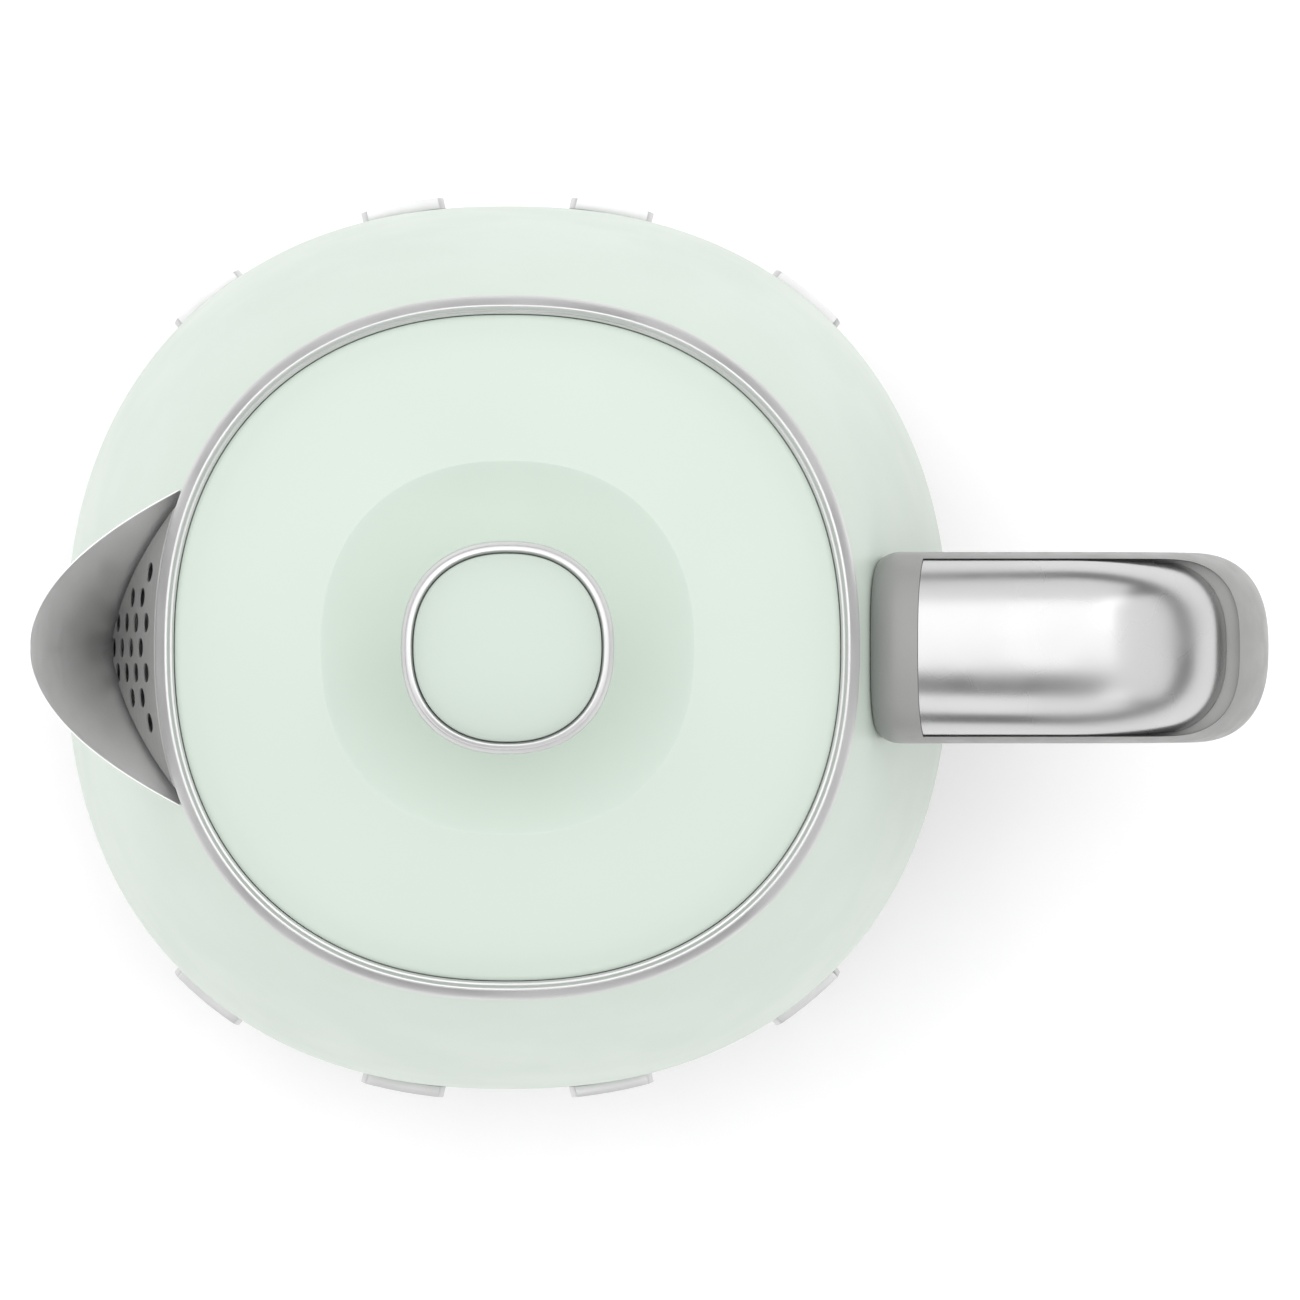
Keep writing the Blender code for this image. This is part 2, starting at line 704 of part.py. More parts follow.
def lid_hinge():
    x, z = LID_PIVOT
    boss = 2.8 * MM
    arm = [
        (65 * MM, 187.6 * MM),
        (65 * MM, 191.5 * MM),
        (47.5 * MM, 191.6 * MM),
        (43.6 * MM, 196.6 * MM),
        (45.2 * MM, 200.8 * MM),
        (x + 1.2 * MM, z - boss),
        (x + boss, z),
        (x + 1.2 * MM, z + boss),
        (x - 1.2 * MM, z + boss),
        (42.0 * MM, 202.6 * MM),
        (40.2 * MM, 196 * MM),
        (45.6 * MM, 188.4 * MM),
        (63.6 * MM, 188.5 * MM),
        (63.6 * MM, 187.6 * MM),
    ]
    bracket = side_plate("lid_bracket", arm, 9 * MM, 12 * MM, STEEL)
    other = side_plate("lid_bracket_arm", arm, -12 * MM, -9 * MM)
    plate = box("lid_bracket_plate", (63.5 * MM, -14 * MM, 180.5 * MM), (64.9 * MM, 14 * MM, 191 * MM))
    pin_hole = cylinder("hinge_pin_hole", 1.75 * MM, (x, -25 * MM, z), (x, 25 * MM, z), vertices=14)
    hose_room = cylinder(
        "bracket_hose_room", 3.5 * MM, (55 * MM, 0, HANDLE_TOP_AXIS), (70 * MM, 0, HANDLE_TOP_AXIS)
    )
    boolean(bracket, other, "UNION")
    boolean(bracket, plate, "UNION")
    cut(bracket, pin_hole, hose_room, *SCREW_HOLES)

    lug = [
        (x + boss, z),
        (x + 1.2 * MM, z + boss),
        (x - 2 * MM, z + boss),
        (37 * MM, 203.6 * MM),
        (31 * MM, 202.2 * MM),
        (27 * MM, 202.2 * MM),
        (27 * MM, 200.3 * MM),
        (40 * MM, 200.3 * MM),
        (x - 1.2 * MM, z - boss),
        (x + 1.2 * MM, z - boss),
    ]
    leaf = side_plate("lid_hinge_leaf", lug, 13.2 * MM, 16 * MM, STEEL)
    far_lug = side_plate("lid_hinge_lug", lug, -16 * MM, -13.2 * MM)
    bridge = box("lid_hinge_bridge", (27.4 * MM, -15 * MM, 200.35 * MM), (38 * MM, 15 * MM, 201.6 * MM))
    boolean(leaf, far_lug, "UNION")
    boolean(leaf, bridge, "UNION")
    cut(leaf, pin_hole)
    cylinder("lid_hinge_pin", 1.4 * MM, (x, -17 * MM, z), (x, 17 * MM, z), STEEL, 14)

    turns, per_turn = 5, 8
    coil = []
    for i in range(turns * per_turn + 1):
        angle = 2 * math.pi * i / per_turn
        y = (-6 + 12 * i / (turns * per_turn)) * MM
        coil.append((x + 2.4 * MM * math.cos(angle), y, z + 2.4 * MM * math.sin(angle)))
    tube("lid_spring", coil, 0.5 * MM, STEEL, roundness=1)


# ---------- heater and switch ----------


def disc(name, radius, low, high, hole=0.0):
    """A flat steel disc, or a ring when it has a hole."""
    return turned(name, [(hole, low), (radius, low), (radius, high), (hole, high)], STEEL)


def heater_parts():
    plate = PLATE_HEIGHT
    disc("heating_plate", PLATE_RADIUS, plate, plate + 1.2 * MM)
    disc("heat_spreader", 62 * MM, plate - 1.6 * MM, plate - 0.4 * MM)
    turned(
        "plate_seal",
        [
            (75.4 * MM, plate - 1.8 * MM),
            (81.6 * MM, plate - 1.8 * MM),
            (81.9 * MM, plate + 2.8 * MM),
            (75.4 * MM, plate + 2.8 * MM),
            (75.4 * MM, plate + 1.5 * MM),
            (77.9 * MM, plate + 1.5 * MM),
            (77.9 * MM, plate - 0.3 * MM),
            (75.4 * MM, plate - 0.3 * MM),
        ],
        RUBBER,
    )
    disc("clamp_ring", 81 * MM, plate - 3.6 * MM, plate - 2.1 * MM, hole=73 * MM)
    ring_radius = 44 * MM
    ring = []
    for i in range(25):
        angle = math.radians(30 + 300 * i / 24)
        x, y = ring_radius * math.cos(angle), ring_radius * math.sin(angle)
        ring.append((x, y, plate - 5.3 * MM))
    cold_ends = [(x, y, plate - 12 * MM) for x, y, _ in (ring[0], ring[-1])]
    tube("heater_element", [cold_ends[0]] + ring + [cold_ends[1]], 3.2 * MM, STEEL)
    box("control_unit", (-22 * MM, -20 * MM, 35 * MM), (33 * MM, 20 * MM, 44 * MM), DARK)
    cylinder("dry_boil_disc", 10 * MM, (0, 0, 44.4 * MM), (0, 0, 45.6 * MM), BRASS)


def chassis_parts():
    """The tray under the heater, whose uprights carry both pivots, and its screws."""
    chassis = turned(
        "chassis",
        [
            (SOCKET_RADIUS + 0.5 * MM, 22 * MM),
            (75.6 * MM, 22 * MM),
            (75.6 * MM, 28.4 * MM),
            (77.4 * MM, 28.4 * MM),
            (77.4 * MM, 30.4 * MM),
            (73.6 * MM, 30.4 * MM),
            (73.6 * MM, 24 * MM),
            (SOCKET_RADIUS + 0.5 * MM, 24 * MM),
        ],
        DARK,
    )
    for side in (-1, 1):
        middle = side * 9.4 * MM
        low, high = (51 * MM, middle - MM, 23 * MM), (72.9 * MM, middle + MM, 46 * MM)
        boolean(chassis, box(f"pivot_upright_{side}", low, high), "UNION")
    for i, (x, z) in enumerate((SWITCH_PIVOT, TRIP_PIVOT)):
        cut(chassis, cylinder(f"axle_hole_{i}", 1.8 * MM, (x, -16 * MM, z), (x, 16 * MM, z), vertices=12))
    cut(chassis, box("lever_room", (73.3 * MM, -8.2 * MM, 24.2 * MM), (80 * MM, 8.2 * MM, 32 * MM)))
    for i, degrees in enumerate((60, 180, 300), start=1):
        x, y = 60 * MM * math.cos(math.radians(degrees)), 60 * MM * math.sin(math.radians(degrees))
        cut(chassis, cylinder(f"chassis_hole_{i}", 1.9 * MM, (x, y, 20 * MM), (x, y, 26 * MM), vertices=10))
        cylinder(f"chassis_screw_{i}", 1.6 * MM, (x, y, 22.2 * MM), (x, y, 34 * MM), STEEL, 10)


def switch_parts():
    x, z = SWITCH_PIVOT
    lever_side = [
        (64.5 * MM, 31.5 * MM),
        (86 * MM, 31.2 * MM),
        (96 * MM, 32.6 * MM),
        (105 * MM, 36.2 * MM),
        (104 * MM, 38.6 * MM),
        (95 * MM, 36.4 * MM),
        (86 * MM, 35.6 * MM),
        (64.5 * MM, 35.5 * MM),
    ]
    lever = side_plate("switch_lever", lever_side, -7.5 * MM, 7.5 * MM, GREY)
    axle = cylinder("switch_axle", 1.5 * MM, (x, -10 * MM, z), (x, 10 * MM, z), vertices=12)
    lens_hole = box("lens_hole", (90 * MM, -3.3 * MM, 28 * MM), (97 * MM, 3.3 * MM, 42 * MM))
    boolean(lever, axle, "UNION")
    cut(lever, lens_hole)
    box("pilot_lens", (90.3 * MM, -3 * MM, 33 * MM), (96.7 * MM, 3 * MM, 36.6 * MM), LENS)

    tx, tz = TRIP_PIVOT
    rocker_side = [
        (50.5 * MM, tz - 1.6 * MM),
        (tx, tz - 2.8 * MM),
        (61.4 * MM, tz - 1.0 * MM),
        (61.4 * MM, tz + 1.4 * MM),
        (tx, tz + 2.8 * MM),
        (50.5 * MM, tz + 1.6 * MM),
    ]
    rocker = side_plate("trip_rocker", rocker_side, -7.5 * MM, 7.5 * MM, DARK)
    trip_axle = cylinder("trip_axle", 1.5 * MM, (tx, -10 * MM, tz), (tx, 10 * MM, tz), vertices=12)
    boolean(rocker, trip_axle, "UNION")
    cylinder("steam_disc", 7.4 * MM, (62 * MM, 0, STEAM_HEIGHT), (63 * MM, 0, STEAM_HEIGHT), BRASS, 16)


# ---------- power base and its connector ----------


def base_parts():
    radius = BASE_RADIUS
    shell = turned(
        "base_shell",
        [
            (radius - 1 * MM, 2 * MM),
            (radius, 2 * MM),
            (radius, 12.8 * MM),
            (radius - 2 * MM, 16.8 * MM),
            (radius - 7 * MM, BASE_TOP),
            (40 * MM, BASE_TOP),
            (40 * MM, BASE_TOP - 1 * MM),
            (radius - 7.3 * MM, BASE_TOP - 1 * MM),
            (radius - 2.8 * MM, 16 * MM),
            (radius - 1 * MM, 12.6 * MM),
        ],
        STEEL,
    )
    turned(
        "base_deck",
        [
            (16 * MM, 15.2 * MM),
            (44 * MM, 15.2 * MM),
            (44 * MM, BASE_TOP - 1.3 * MM),
            (39.6 * MM, BASE_TOP - 1.3 * MM),
            (39.6 * MM, BASE_TOP),
            (22 * MM, BASE_TOP),
            (20.5 * MM, 17 * MM),
            (16 * MM, 17 * MM),
        ],
        DARK,
    )
    hub, flange = 26 * MM, 34 * MM
    bottom = turned(
        "base_bottom",
        [
            (0, 1.2 * MM),
            (flange, 1.2 * MM),
            (flange, 2.8 * MM),
            (hub, 2.8 * MM),
            (hub, 10 * MM),
            (64 * MM, 10 * MM),
            (64 * MM, 1.2 * MM),
            (radius - 1.3 * MM, 1.2 * MM),
            (radius - 1.3 * MM, 9 * MM),
            (radius - 3 * MM, 9 * MM),
            (radius - 3 * MM, 3 * MM),
            (66 * MM, 3 * MM),
            (66 * MM, 11.8 * MM),
            (24 * MM, 11.8 * MM),
            (24 * MM, 3 * MM),
            (0, 3 * MM),
        ],
        DARK,
    )
    outlet = box("cord_outlet_cut", (60 * MM, -5 * MM, -1 * MM), (90 * MM, 5 * MM, 9.7 * MM))
    cut(shell, outlet)
    cut(bottom, outlet)
    gland = box("cord_gland", (66.5 * MM, -4.6 * MM, 1.2 * MM), (77.6 * MM, 4.6 * MM, 9.3 * MM), DARK)
    bore = cylinder("gland_bore", 3.3 * MM, (60 * MM, 0, 5.3 * MM), (84 * MM, 0, 5.3 * MM), vertices=12)
    cut(gland, bore)
    turned(
        "base_plug",
        [
            (4.4 * MM, 12.2 * MM),
            (22 * MM, 12.2 * MM),
            (22 * MM, 14.9 * MM),
            (PLUG_RADIUS, 14.9 * MM),
            (PLUG_RADIUS, PLUG_TOP - 1.5 * MM),
            (PLUG_RADIUS - 1.5 * MM, PLUG_TOP),
            (11.5 * MM, PLUG_TOP),
            (11.5 * MM, 18 * MM),
            (9.2 * MM, 18 * MM),
            (9.2 * MM, 31 * MM),
            (4.4 * MM, 31 * MM),
        ],
        DARK,
        SMALL_SEGMENTS,
    )
    cylinder("plug_earth_pin", 1.8 * MM, (0, 0, 12.4 * MM), (0, 0, 30 * MM), BRASS, 14)
    inner, outer, low, high = 9.5 * MM, 10.3 * MM, 18.3 * MM, 28 * MM
    sleeve = [(inner, low), (outer, low), (outer, high), (inner, high)]
    turned("plug_contact", sleeve, BRASS, SMALL_SEGMENTS)
    cylinder("base_foot_centre", 12 * MM, (0, 0, 0), (0, 0, 0.9 * MM), RUBBER)
    for number in range(3):
        angle = math.radians(60 + 120 * number)
        x, y = 70 * MM * math.cos(angle), 70 * MM * math.sin(angle)
        cylinder(f"base_foot_{number + 1}", 4.5 * MM, (x, y, 0), (x, y, 0.9 * MM), RUBBER, 16)


def socket_part():
    turned(
        "jug_socket",
        [
            (0, 34.6 * MM),
            (SOCKET_RADIUS, 34.6 * MM),
            (SOCKET_RADIUS, 20.4 * MM),
            (SOCKET_BORE + 1 * MM, 19.4 * MM),
            (SOCKET_BORE, 20.4 * MM),
            (SOCKET_BORE, 33.4 * MM),
            (0, 33.4 * MM),
        ],
        DARK,
        SMALL_SEGMENTS,
    )


# ---------- cutters that several pieces share ----------

BODY_OUTSIDE = wall_solid("body_outside", GAP)
BODY_INSIDE = wall_solid("body_inside", -WALL)
SPOUT_WINDOW = spout_body("spout_window", SPOUT_WALL + 1.5 * GAP, -56 * MM, lift=3 * MM)
COLLAR_ROOM = turned(
    "collar_room",
    [(0, 197 * MM), (COLLAR_OUTER + GAP, 197 * MM), (COLLAR_OUTER + GAP, 212 * MM), (0, 212 * MM)],
    squared=True,
)
GAUGE_SLOT = box("gauge_slot", (60 * MM, -4.5 * MM, 80 * MM), (99 * MM, 4.5 * MM, 165 * MM))
SWITCH_SLOT = box("switch_slot", (70 * MM, -8.2 * MM, 27 * MM), (95 * MM, 8.2 * MM, 38.6 * MM))
STEAM_HOLES = [
    cylinder(f"steam_hole_{name}", 4.2 * MM, (low, 0, z), (low + 20 * MM, 0, z))
    for name, low, z in (("upper", 58 * MM, HANDLE_TOP_AXIS), ("lower", 70 * MM, STEAM_HEIGHT))
]
SCREWS = [
    (side * 11 * MM, z, head, end)
    for z, head, end in ((HANDLE_TOP_AXIS, 61.2 * MM, 84 * MM), (STEAM_HEIGHT, 73 * MM, 98 * MM))
    for side in (1, -1)
]
SCREW_HOLES = [
    cylinder(f"screw_hole_{i}", 2.35 * MM, (head - 1 * MM, y, z), (end + 1 * MM, y, z), vertices=12)
    for i, (y, z, head, end) in enumerate(SCREWS)
]

jug_body()
side_bars()
spout_parts()
handle_parts()
handle_screws()
steam_hose()
gauge_parts()
lid_parts()
lid_hinge()
heater_parts()
chassis_parts()
switch_parts()
base_parts()
socket_part()


# ---------- empties on the joints' axes ----------


def pivot(name, place, above=None):
    """An empty on a joint's axis."""
    empty = bpy.data.objects.new(name, None)
    empty.empty_display_size = 10 * MM
    PARTS.objects.link(empty)
    hang(empty, above)
    empty.matrix_world.translation = place
    return empty


def hang(obj, above):
    """Makes obj follow the empty above it, and stay where it is now."""
    if above is None:
        return
    bpy.context.view_layer.update()
    obj.parent = above
    obj.matrix_parent_inverse = above.matrix_world.inverted()


LIFT = pivot("jug_lift_axis", (0, 0, 0))
SWIVEL = pivot("jug_swivel_axis", (0, 0, 30 * MM), LIFT)
LID = pivot("lid_hinge_axis", (LID_PIVOT[0], 0, LID_PIVOT[1]), SWIVEL)
LEVER = pivot("switch_lever_axis", (SWITCH_PIVOT[0], 0, SWITCH_PIVOT[1]), SWIVEL)
ROCKER = pivot("trip_rocker_axis", (TRIP_PIVOT[0], 0, TRIP_PIVOT[1]), SWIVEL)
MOVES_WITH = {
    LIFT: ["jug_socket"],
    LID: [
        "lid_dome",
        "lid_pan",
        "lid_seal",
        "lid_hinge_leaf",
        "lid_hinge_pin",
        "knob_body",
        "knob_ring",
        "knob_cap",
        "knob_screw",
    ],
    LEVER: ["switch_lever", "pilot_lens"],
    ROCKER: ["trip_rocker"],
}
STANDS_STILL = ("base_", "plug_", "cord_")
for part in list(PARTS.objects):
    if part.type == "MESH":
        owners = [empty for empty, names in MOVES_WITH.items() if part.name in names]
        still = part.name.startswith(STANDS_STILL)
        hang(part, owners[0] if owners else None if still else SWIVEL)
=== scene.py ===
"""The looks of a cordless jug kettle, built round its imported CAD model.

Everything is in metres. The kettle's axis is Z, the spout points along -X and the handle along +X.
"""

import math

import bmesh
import bpy
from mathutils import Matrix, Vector


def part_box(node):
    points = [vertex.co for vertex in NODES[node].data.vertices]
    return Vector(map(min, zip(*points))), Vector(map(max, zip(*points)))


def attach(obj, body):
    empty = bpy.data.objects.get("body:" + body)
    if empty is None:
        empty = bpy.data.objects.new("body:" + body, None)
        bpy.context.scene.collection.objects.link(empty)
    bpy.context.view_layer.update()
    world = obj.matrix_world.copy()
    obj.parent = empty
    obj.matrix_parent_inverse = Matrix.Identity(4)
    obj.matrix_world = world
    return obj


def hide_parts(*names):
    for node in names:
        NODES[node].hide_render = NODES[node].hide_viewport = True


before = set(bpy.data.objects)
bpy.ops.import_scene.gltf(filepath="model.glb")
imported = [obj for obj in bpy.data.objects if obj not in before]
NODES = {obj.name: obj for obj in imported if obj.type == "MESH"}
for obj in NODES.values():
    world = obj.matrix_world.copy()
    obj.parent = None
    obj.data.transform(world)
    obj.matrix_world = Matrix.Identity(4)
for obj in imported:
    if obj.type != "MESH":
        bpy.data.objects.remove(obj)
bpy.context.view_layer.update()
MM = 0.001
UP = Vector((0, 0, 1))

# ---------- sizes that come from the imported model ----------

SHELL_LOW, SHELL_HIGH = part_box("jug_shell")
COLLAR_LOW, COLLAR_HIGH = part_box("collar_ring")
DOME_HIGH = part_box("lid_dome")[1]
RING_LOW, RING_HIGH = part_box("knob_ring")
CAP_LOW, CAP_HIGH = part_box("knob_cap")
SPOUT_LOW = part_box("spout")[0]
FRAME_LOW, FRAME_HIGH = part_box("handle_frame")
COVER_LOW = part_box("handle_cover")[0]
BASE_LOW, BASE_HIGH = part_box("base_shell")
TRIM_LOW, TRIM_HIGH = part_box("bottom_trim")
BAR_LOW, BAR_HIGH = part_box("side_bar_1")

# The wall is an egg whose plan is a circle at the foot and a soft square above.
WIDEST_RADIUS = SHELL_HIGH.x
WIDEST_HEIGHT = 70 * MM
RIM_RADIUS = 63.2 * MM
RIM_HEIGHT = SHELL_HIGH.z
FOOT_RADIUS = 79 * MM
FOOT_HEIGHT = SHELL_LOW.z
WALL = 1.0 * MM
PLAN_POWER = 2.26  # a circle is 2
ROUND_BELOW = 50 * MM
SQUARE_ABOVE = 90 * MM
ROUND_STEPS = 192
GAUGE_LOW, GAUGE_HIGH = 80 * MM, 165 * MM  # of the slot for the level window

# ---------- mesh helpers ----------


def add(name, mesh, *finishes):
    """A new object with its materials, smooth but for its sharp edges."""
    obj = bpy.data.objects.new(name, mesh)
    bpy.context.scene.collection.objects.link(obj)
    for finish in finishes:
        mesh.materials.append(finish)
    mesh.shade_smooth()
    mesh.set_sharp_from_angle(angle=math.radians(38))
    return obj


def mesh_from(name, points, faces):
    mesh = bpy.data.meshes.new(name)
    mesh.from_pydata(points, [], faces)
    work = bmesh.new()
    work.from_mesh(mesh)
    bmesh.ops.remove_doubles(work, verts=work.verts, dist=0.002 * MM)
    bmesh.ops.recalc_face_normals(work, faces=work.faces)
    work.to_mesh(mesh)
    work.free()
    return mesh


def baked(obj):
    """Applies obj's modifiers to its mesh."""
    graph = bpy.context.evaluated_depsgraph_get()
    mesh = bpy.data.meshes.new_from_object(obj.evaluated_get(graph))
    obj.modifiers.clear()
    obj.data = mesh
    mesh.shade_smooth()
    mesh.set_sharp_from_angle(angle=math.radians(38))
    return obj


def combine(obj, tool, operation):
    """A Boolean whose tool is used up."""
    modifier = obj.modifiers.new(operation.lower(), "BOOLEAN")
    modifier.operation = operation
    modifier.solver = "EXACT"
    modifier.object = tool
    baked(obj)
    bpy.data.objects.remove(tool, do_unlink=True)
    return obj


def cut(obj, *tools):
    for tool in tools:
        combine(obj, tool, "DIFFERENCE")
    return obj


def bevelled(obj, width, segments=3, angle=30):
    modifier = obj.modifiers.new("edges", "BEVEL")
    modifier.width = width
    modifier.segments = segments
    modifier.limit_method = "ANGLE"
    modifier.angle_limit = math.radians(angle)
    modifier.use_clamp_overlap = True
    return baked(obj)


def smoothstep(value):
    share = min(1.0, max(0.0, value))
    return share * share * (3 - 2 * share)


def plan_factor(x, y, height):
    """How far the plan stands out from a circle in the direction (x, y) at this height."""
    reach = math.hypot(x, y)
    if reach < 1e-9:
        return 1.0
    power_sum = abs(x / reach) ** PLAN_POWER + abs(y / reach) ** PLAN_POWER
    share = smoothstep((height - ROUND_BELOW) / (SQUARE_ABOVE - ROUND_BELOW))
    return 1 + share * (power_sum ** (-1 / PLAN_POWER) - 1)


def soft(profile, radius, steps=4, closed=True):
    """Rounds the corners of a profile of (radius, height) points."""
    points = [Vector(point) for point in profile]
    count = len(points)
    found = []
    for i, point in enumerate(points):
        if not closed and i in (0, count - 1):
            found.append(point)
            continue
        before, after = points[i - 1] - point, points[(i + 1) % count] - point
        turn = math.pi - before.angle(after)
        if turn < math.radians(12):
            found.append(point)
            continue
        reach = min(radius * math.tan(turn / 2), 0.45 * before.length, 0.45 * after.length)
        start, end = point + before.normalized() * reach, point + after.normalized() * reach
        for j in range(steps + 1):
            share = j / steps
            first, second = start.lerp(point, share), point.lerp(end, share)
            found.append(first.lerp(second, share))
    return [tuple(point) for point in found]


def turned(name, profile, *finishes, squared=True, steps=ROUND_STEPS):
    """Turns a profile round Z. One that starts and ends on the axis is solid, and any other is a ring."""
    closed = profile[0][0] > 0 or profile[-1][0] > 0
    points = []
    for radius, height in profile:
        for i in range(steps):
            angle = 2 * math.pi * i / steps
            x, y = radius * math.cos(angle), radius * math.sin(angle)
            factor = plan_factor(x, y, height) if squared else 1.0
            points.append((x * factor, y * factor, height))
    rows = len(profile)
    faces = []
    for row in range(rows if closed else rows - 1):
        low, high = row * steps, (row + 1) % rows * steps
        for i in range(steps):
            j = (i + 1) % steps
            faces.append((low + i, low + j, high + j, high + i))
    return add(name, mesh_from(name, points, faces), *finishes)


def wall_radius(height):
    """Radius of the jug's outer wall, measured along X, at this height."""
    if height >= WIDEST_HEIGHT:
        end_radius, end_height = RIM_RADIUS, RIM_HEIGHT
    else:
        end_radius, end_height = FOOT_RADIUS, FOOT_HEIGHT
    drop = 1 - (end_radius / WIDEST_RADIUS) ** 2
    reach = (end_height - WIDEST_HEIGHT) ** 2 / drop
    return WIDEST_RADIUS * math.sqrt(max(0.0, 1 - (height - WIDEST_HEIGHT) ** 2 / reach))


def wall_line(offset, low, high, steps):
    heights = [low + (high - low) * i / steps for i in range(steps + 1)]
    return [(wall_radius(height) + offset, height) for height in heights]


def wall_layer(name, outer, inner, low, high, *finishes, steps=48):
    profile = wall_line(inner, low, high, steps) + wall_line(outer, low, high, steps)[::-1]
    return turned(name, profile, *finishes)


def wall_solid(name, offset, low=20 * MM, high=208 * MM):
    line = wall_line(offset, low, high, 64)
    return turned(name, [(0, low)] + line + [(0, high)])


def prism(name, low, high, *finishes):
    """A block between two corners."""
    low, high = Vector(low), Vector(high)
    work = bmesh.new()
    bmesh.ops.create_cube(work, size=1)
    bmesh.ops.scale(work, vec=high - low, verts=work.verts)
    bmesh.ops.translate(work, vec=(low + high) / 2, verts=work.verts)
    mesh = bpy.data.meshes.new(name)
    work.to_mesh(mesh)
    work.free()
    return add(name, mesh, *finishes)


def rods(name, places, radius, *finishes, steps=24):
    """Round rods between pairs of points, as one mesh."""
    work = bmesh.new()
    for start, end in places:
        start, end = Vector(start), Vector(end)
        made = bmesh.ops.create_cone(
            work,
            cap_ends=True,
            segments=steps,
            radius1=radius,
            radius2=radius,
            depth=(end - start).length,
        )
        turn = (end - start).to_track_quat("Z", "Y").to_matrix().to_4x4()
        turn.translation = (start + end) / 2
        bmesh.ops.transform(work, matrix=turn, verts=made["verts"])
    mesh = bpy.data.meshes.new(name)
    work.to_mesh(mesh)
    work.free()
    return add(name, mesh, *finishes)


def lofted(name, sections, *finishes):
    """Joins closed sections of equal counts and caps both ends."""
    count = len(sections[0])
    points = [point for section in sections for point in section]
    faces = [tuple(range(count))[::-1], tuple(range(len(points) - count, len(points)))]
    for row in range(len(sections) - 1):
        low, high = row * count, (row + 1) * count
        for i in range(count):
            j = (i + 1) % count
            faces.append((low + i, low + j, high + j, high + i))
    return add(name, mesh_from(name, points, faces), *finishes)


def stands_for(piece, body, slot, *nodes):
    """Puts a piece on its body and hides the CAD nodes that it shows better."""
    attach(piece, body)
    if nodes:
        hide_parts(*nodes)
    return piece


# ---------- materials ----------


class Finish:
    """A Principled material whose roughness, colour and bump come from noise in object space."""

    def __init__(self, name, colour, roughness, metallic=0.0):
        self.material = bpy.data.materials.new(name)
        self.material.use_nodes = True
        self.nodes = self.material.node_tree.nodes
        self.links = self.material.node_tree.links
        self.shader = self.nodes["Principled BSDF"]
        self.shader.inputs["Base Color"].default_value = (*colour, 1)
        self.shader.inputs["Roughness"].default_value = roughness
        self.shader.inputs["Metallic"].default_value = metallic
        self.place = self.nodes.new("ShaderNodeTexCoord").outputs["Object"]

    def noise(self, scale, stretch=(1, 1, 1), detail=4.0, round_axis=False):
        """Noise of this many grains to a metre, stretched along axes or round the Z axis."""
        place = self.place
        if round_axis:
            place = self.polar()
        mapping = self.nodes.new("ShaderNodeMapping")
        mapping.inputs["Scale"].default_value = stretch
        noise = self.nodes.new("ShaderNodeTexNoise")
        noise.inputs["Scale"].default_value = scale
        noise.inputs["Detail"].default_value = detail
        self.links.new(place, mapping.inputs["Vector"])
        self.links.new(mapping.outputs["Vector"], noise.inputs["Vector"])
        return noise.outputs["Fac"]

    def polar(self):
        """(distance from the Z axis, height, little) as a place, so that noise runs round Z."""
        split = self.nodes.new("ShaderNodeSeparateXYZ")
        length = self.nodes.new("ShaderNodeVectorMath")
        length.operation = "LENGTH"
        flat = self.nodes.new("ShaderNodeCombineXYZ")
        joined = self.nodes.new("ShaderNodeCombineXYZ")
        self.links.new(self.place, split.inputs[0])
        self.links.new(split.outputs["X"], flat.inputs["X"])
        self.links.new(split.outputs["Y"], flat.inputs["Y"])
        self.links.new(flat.outputs[0], length.inputs[0])
        self.links.new(length.outputs["Value"], joined.inputs["X"])
        self.links.new(split.outputs["Z"], joined.inputs["Y"])
        return joined.outputs[0]

    def spread(self, value, low, high):
        """Maps the middle of a noise value to low..high."""
        ramp = self.nodes.new("ShaderNodeMapRange")
        ramp.interpolation_type = "SMOOTHSTEP"
        ramp.inputs["From Min"].default_value = 0.3
        ramp.inputs["From Max"].default_value = 0.7
        ramp.inputs["To Min"].default_value = low
        ramp.inputs["To Max"].default_value = high
        self.links.new(value, ramp.inputs["Value"])
        return ramp.outputs["Result"]

    def vary_roughness(self, value, low, high):
        self.links.new(self.spread(value, low, high), self.shader.inputs["Roughness"])

    def vary_colour(self, value, first, second):
        mix = self.nodes.new("ShaderNodeMix")
        mix.data_type = "RGBA"
        mix.inputs["A"].default_value = (*first, 1)
        mix.inputs["B"].default_value = (*second, 1)
        self.links.new(self.spread(value, 0, 1), mix.inputs["Factor"])
        self.links.new(mix.outputs["Result"], self.shader.inputs["Base Color"])

    def bump(self, value, height, strength=1.0):
        bump = self.nodes.new("ShaderNodeBump")
        bump.inputs["Strength"].default_value = strength
        bump.inputs["Distance"].default_value = height
        self.links.new(value, bump.inputs["Height"])
        self.links.new(bump.outputs["Normal"], self.shader.inputs["Normal"])


def enamel(name, colour):
    """Gloss paint on steel, with a faint orange peel."""
    made = Finish(name, colour, 0.35)
    made.shader.inputs["Specular IOR Level"].default_value = 0.15
    darker = tuple(0.975 * channel for channel in colour)
    made.vary_colour(made.noise(14, detail=2), colour, darker)
    made.vary_roughness(made.noise(60, detail=3), 0.32, 0.4)
    made.bump(made.noise(420, detail=2), 0.00002, 0.25)
    return made.material


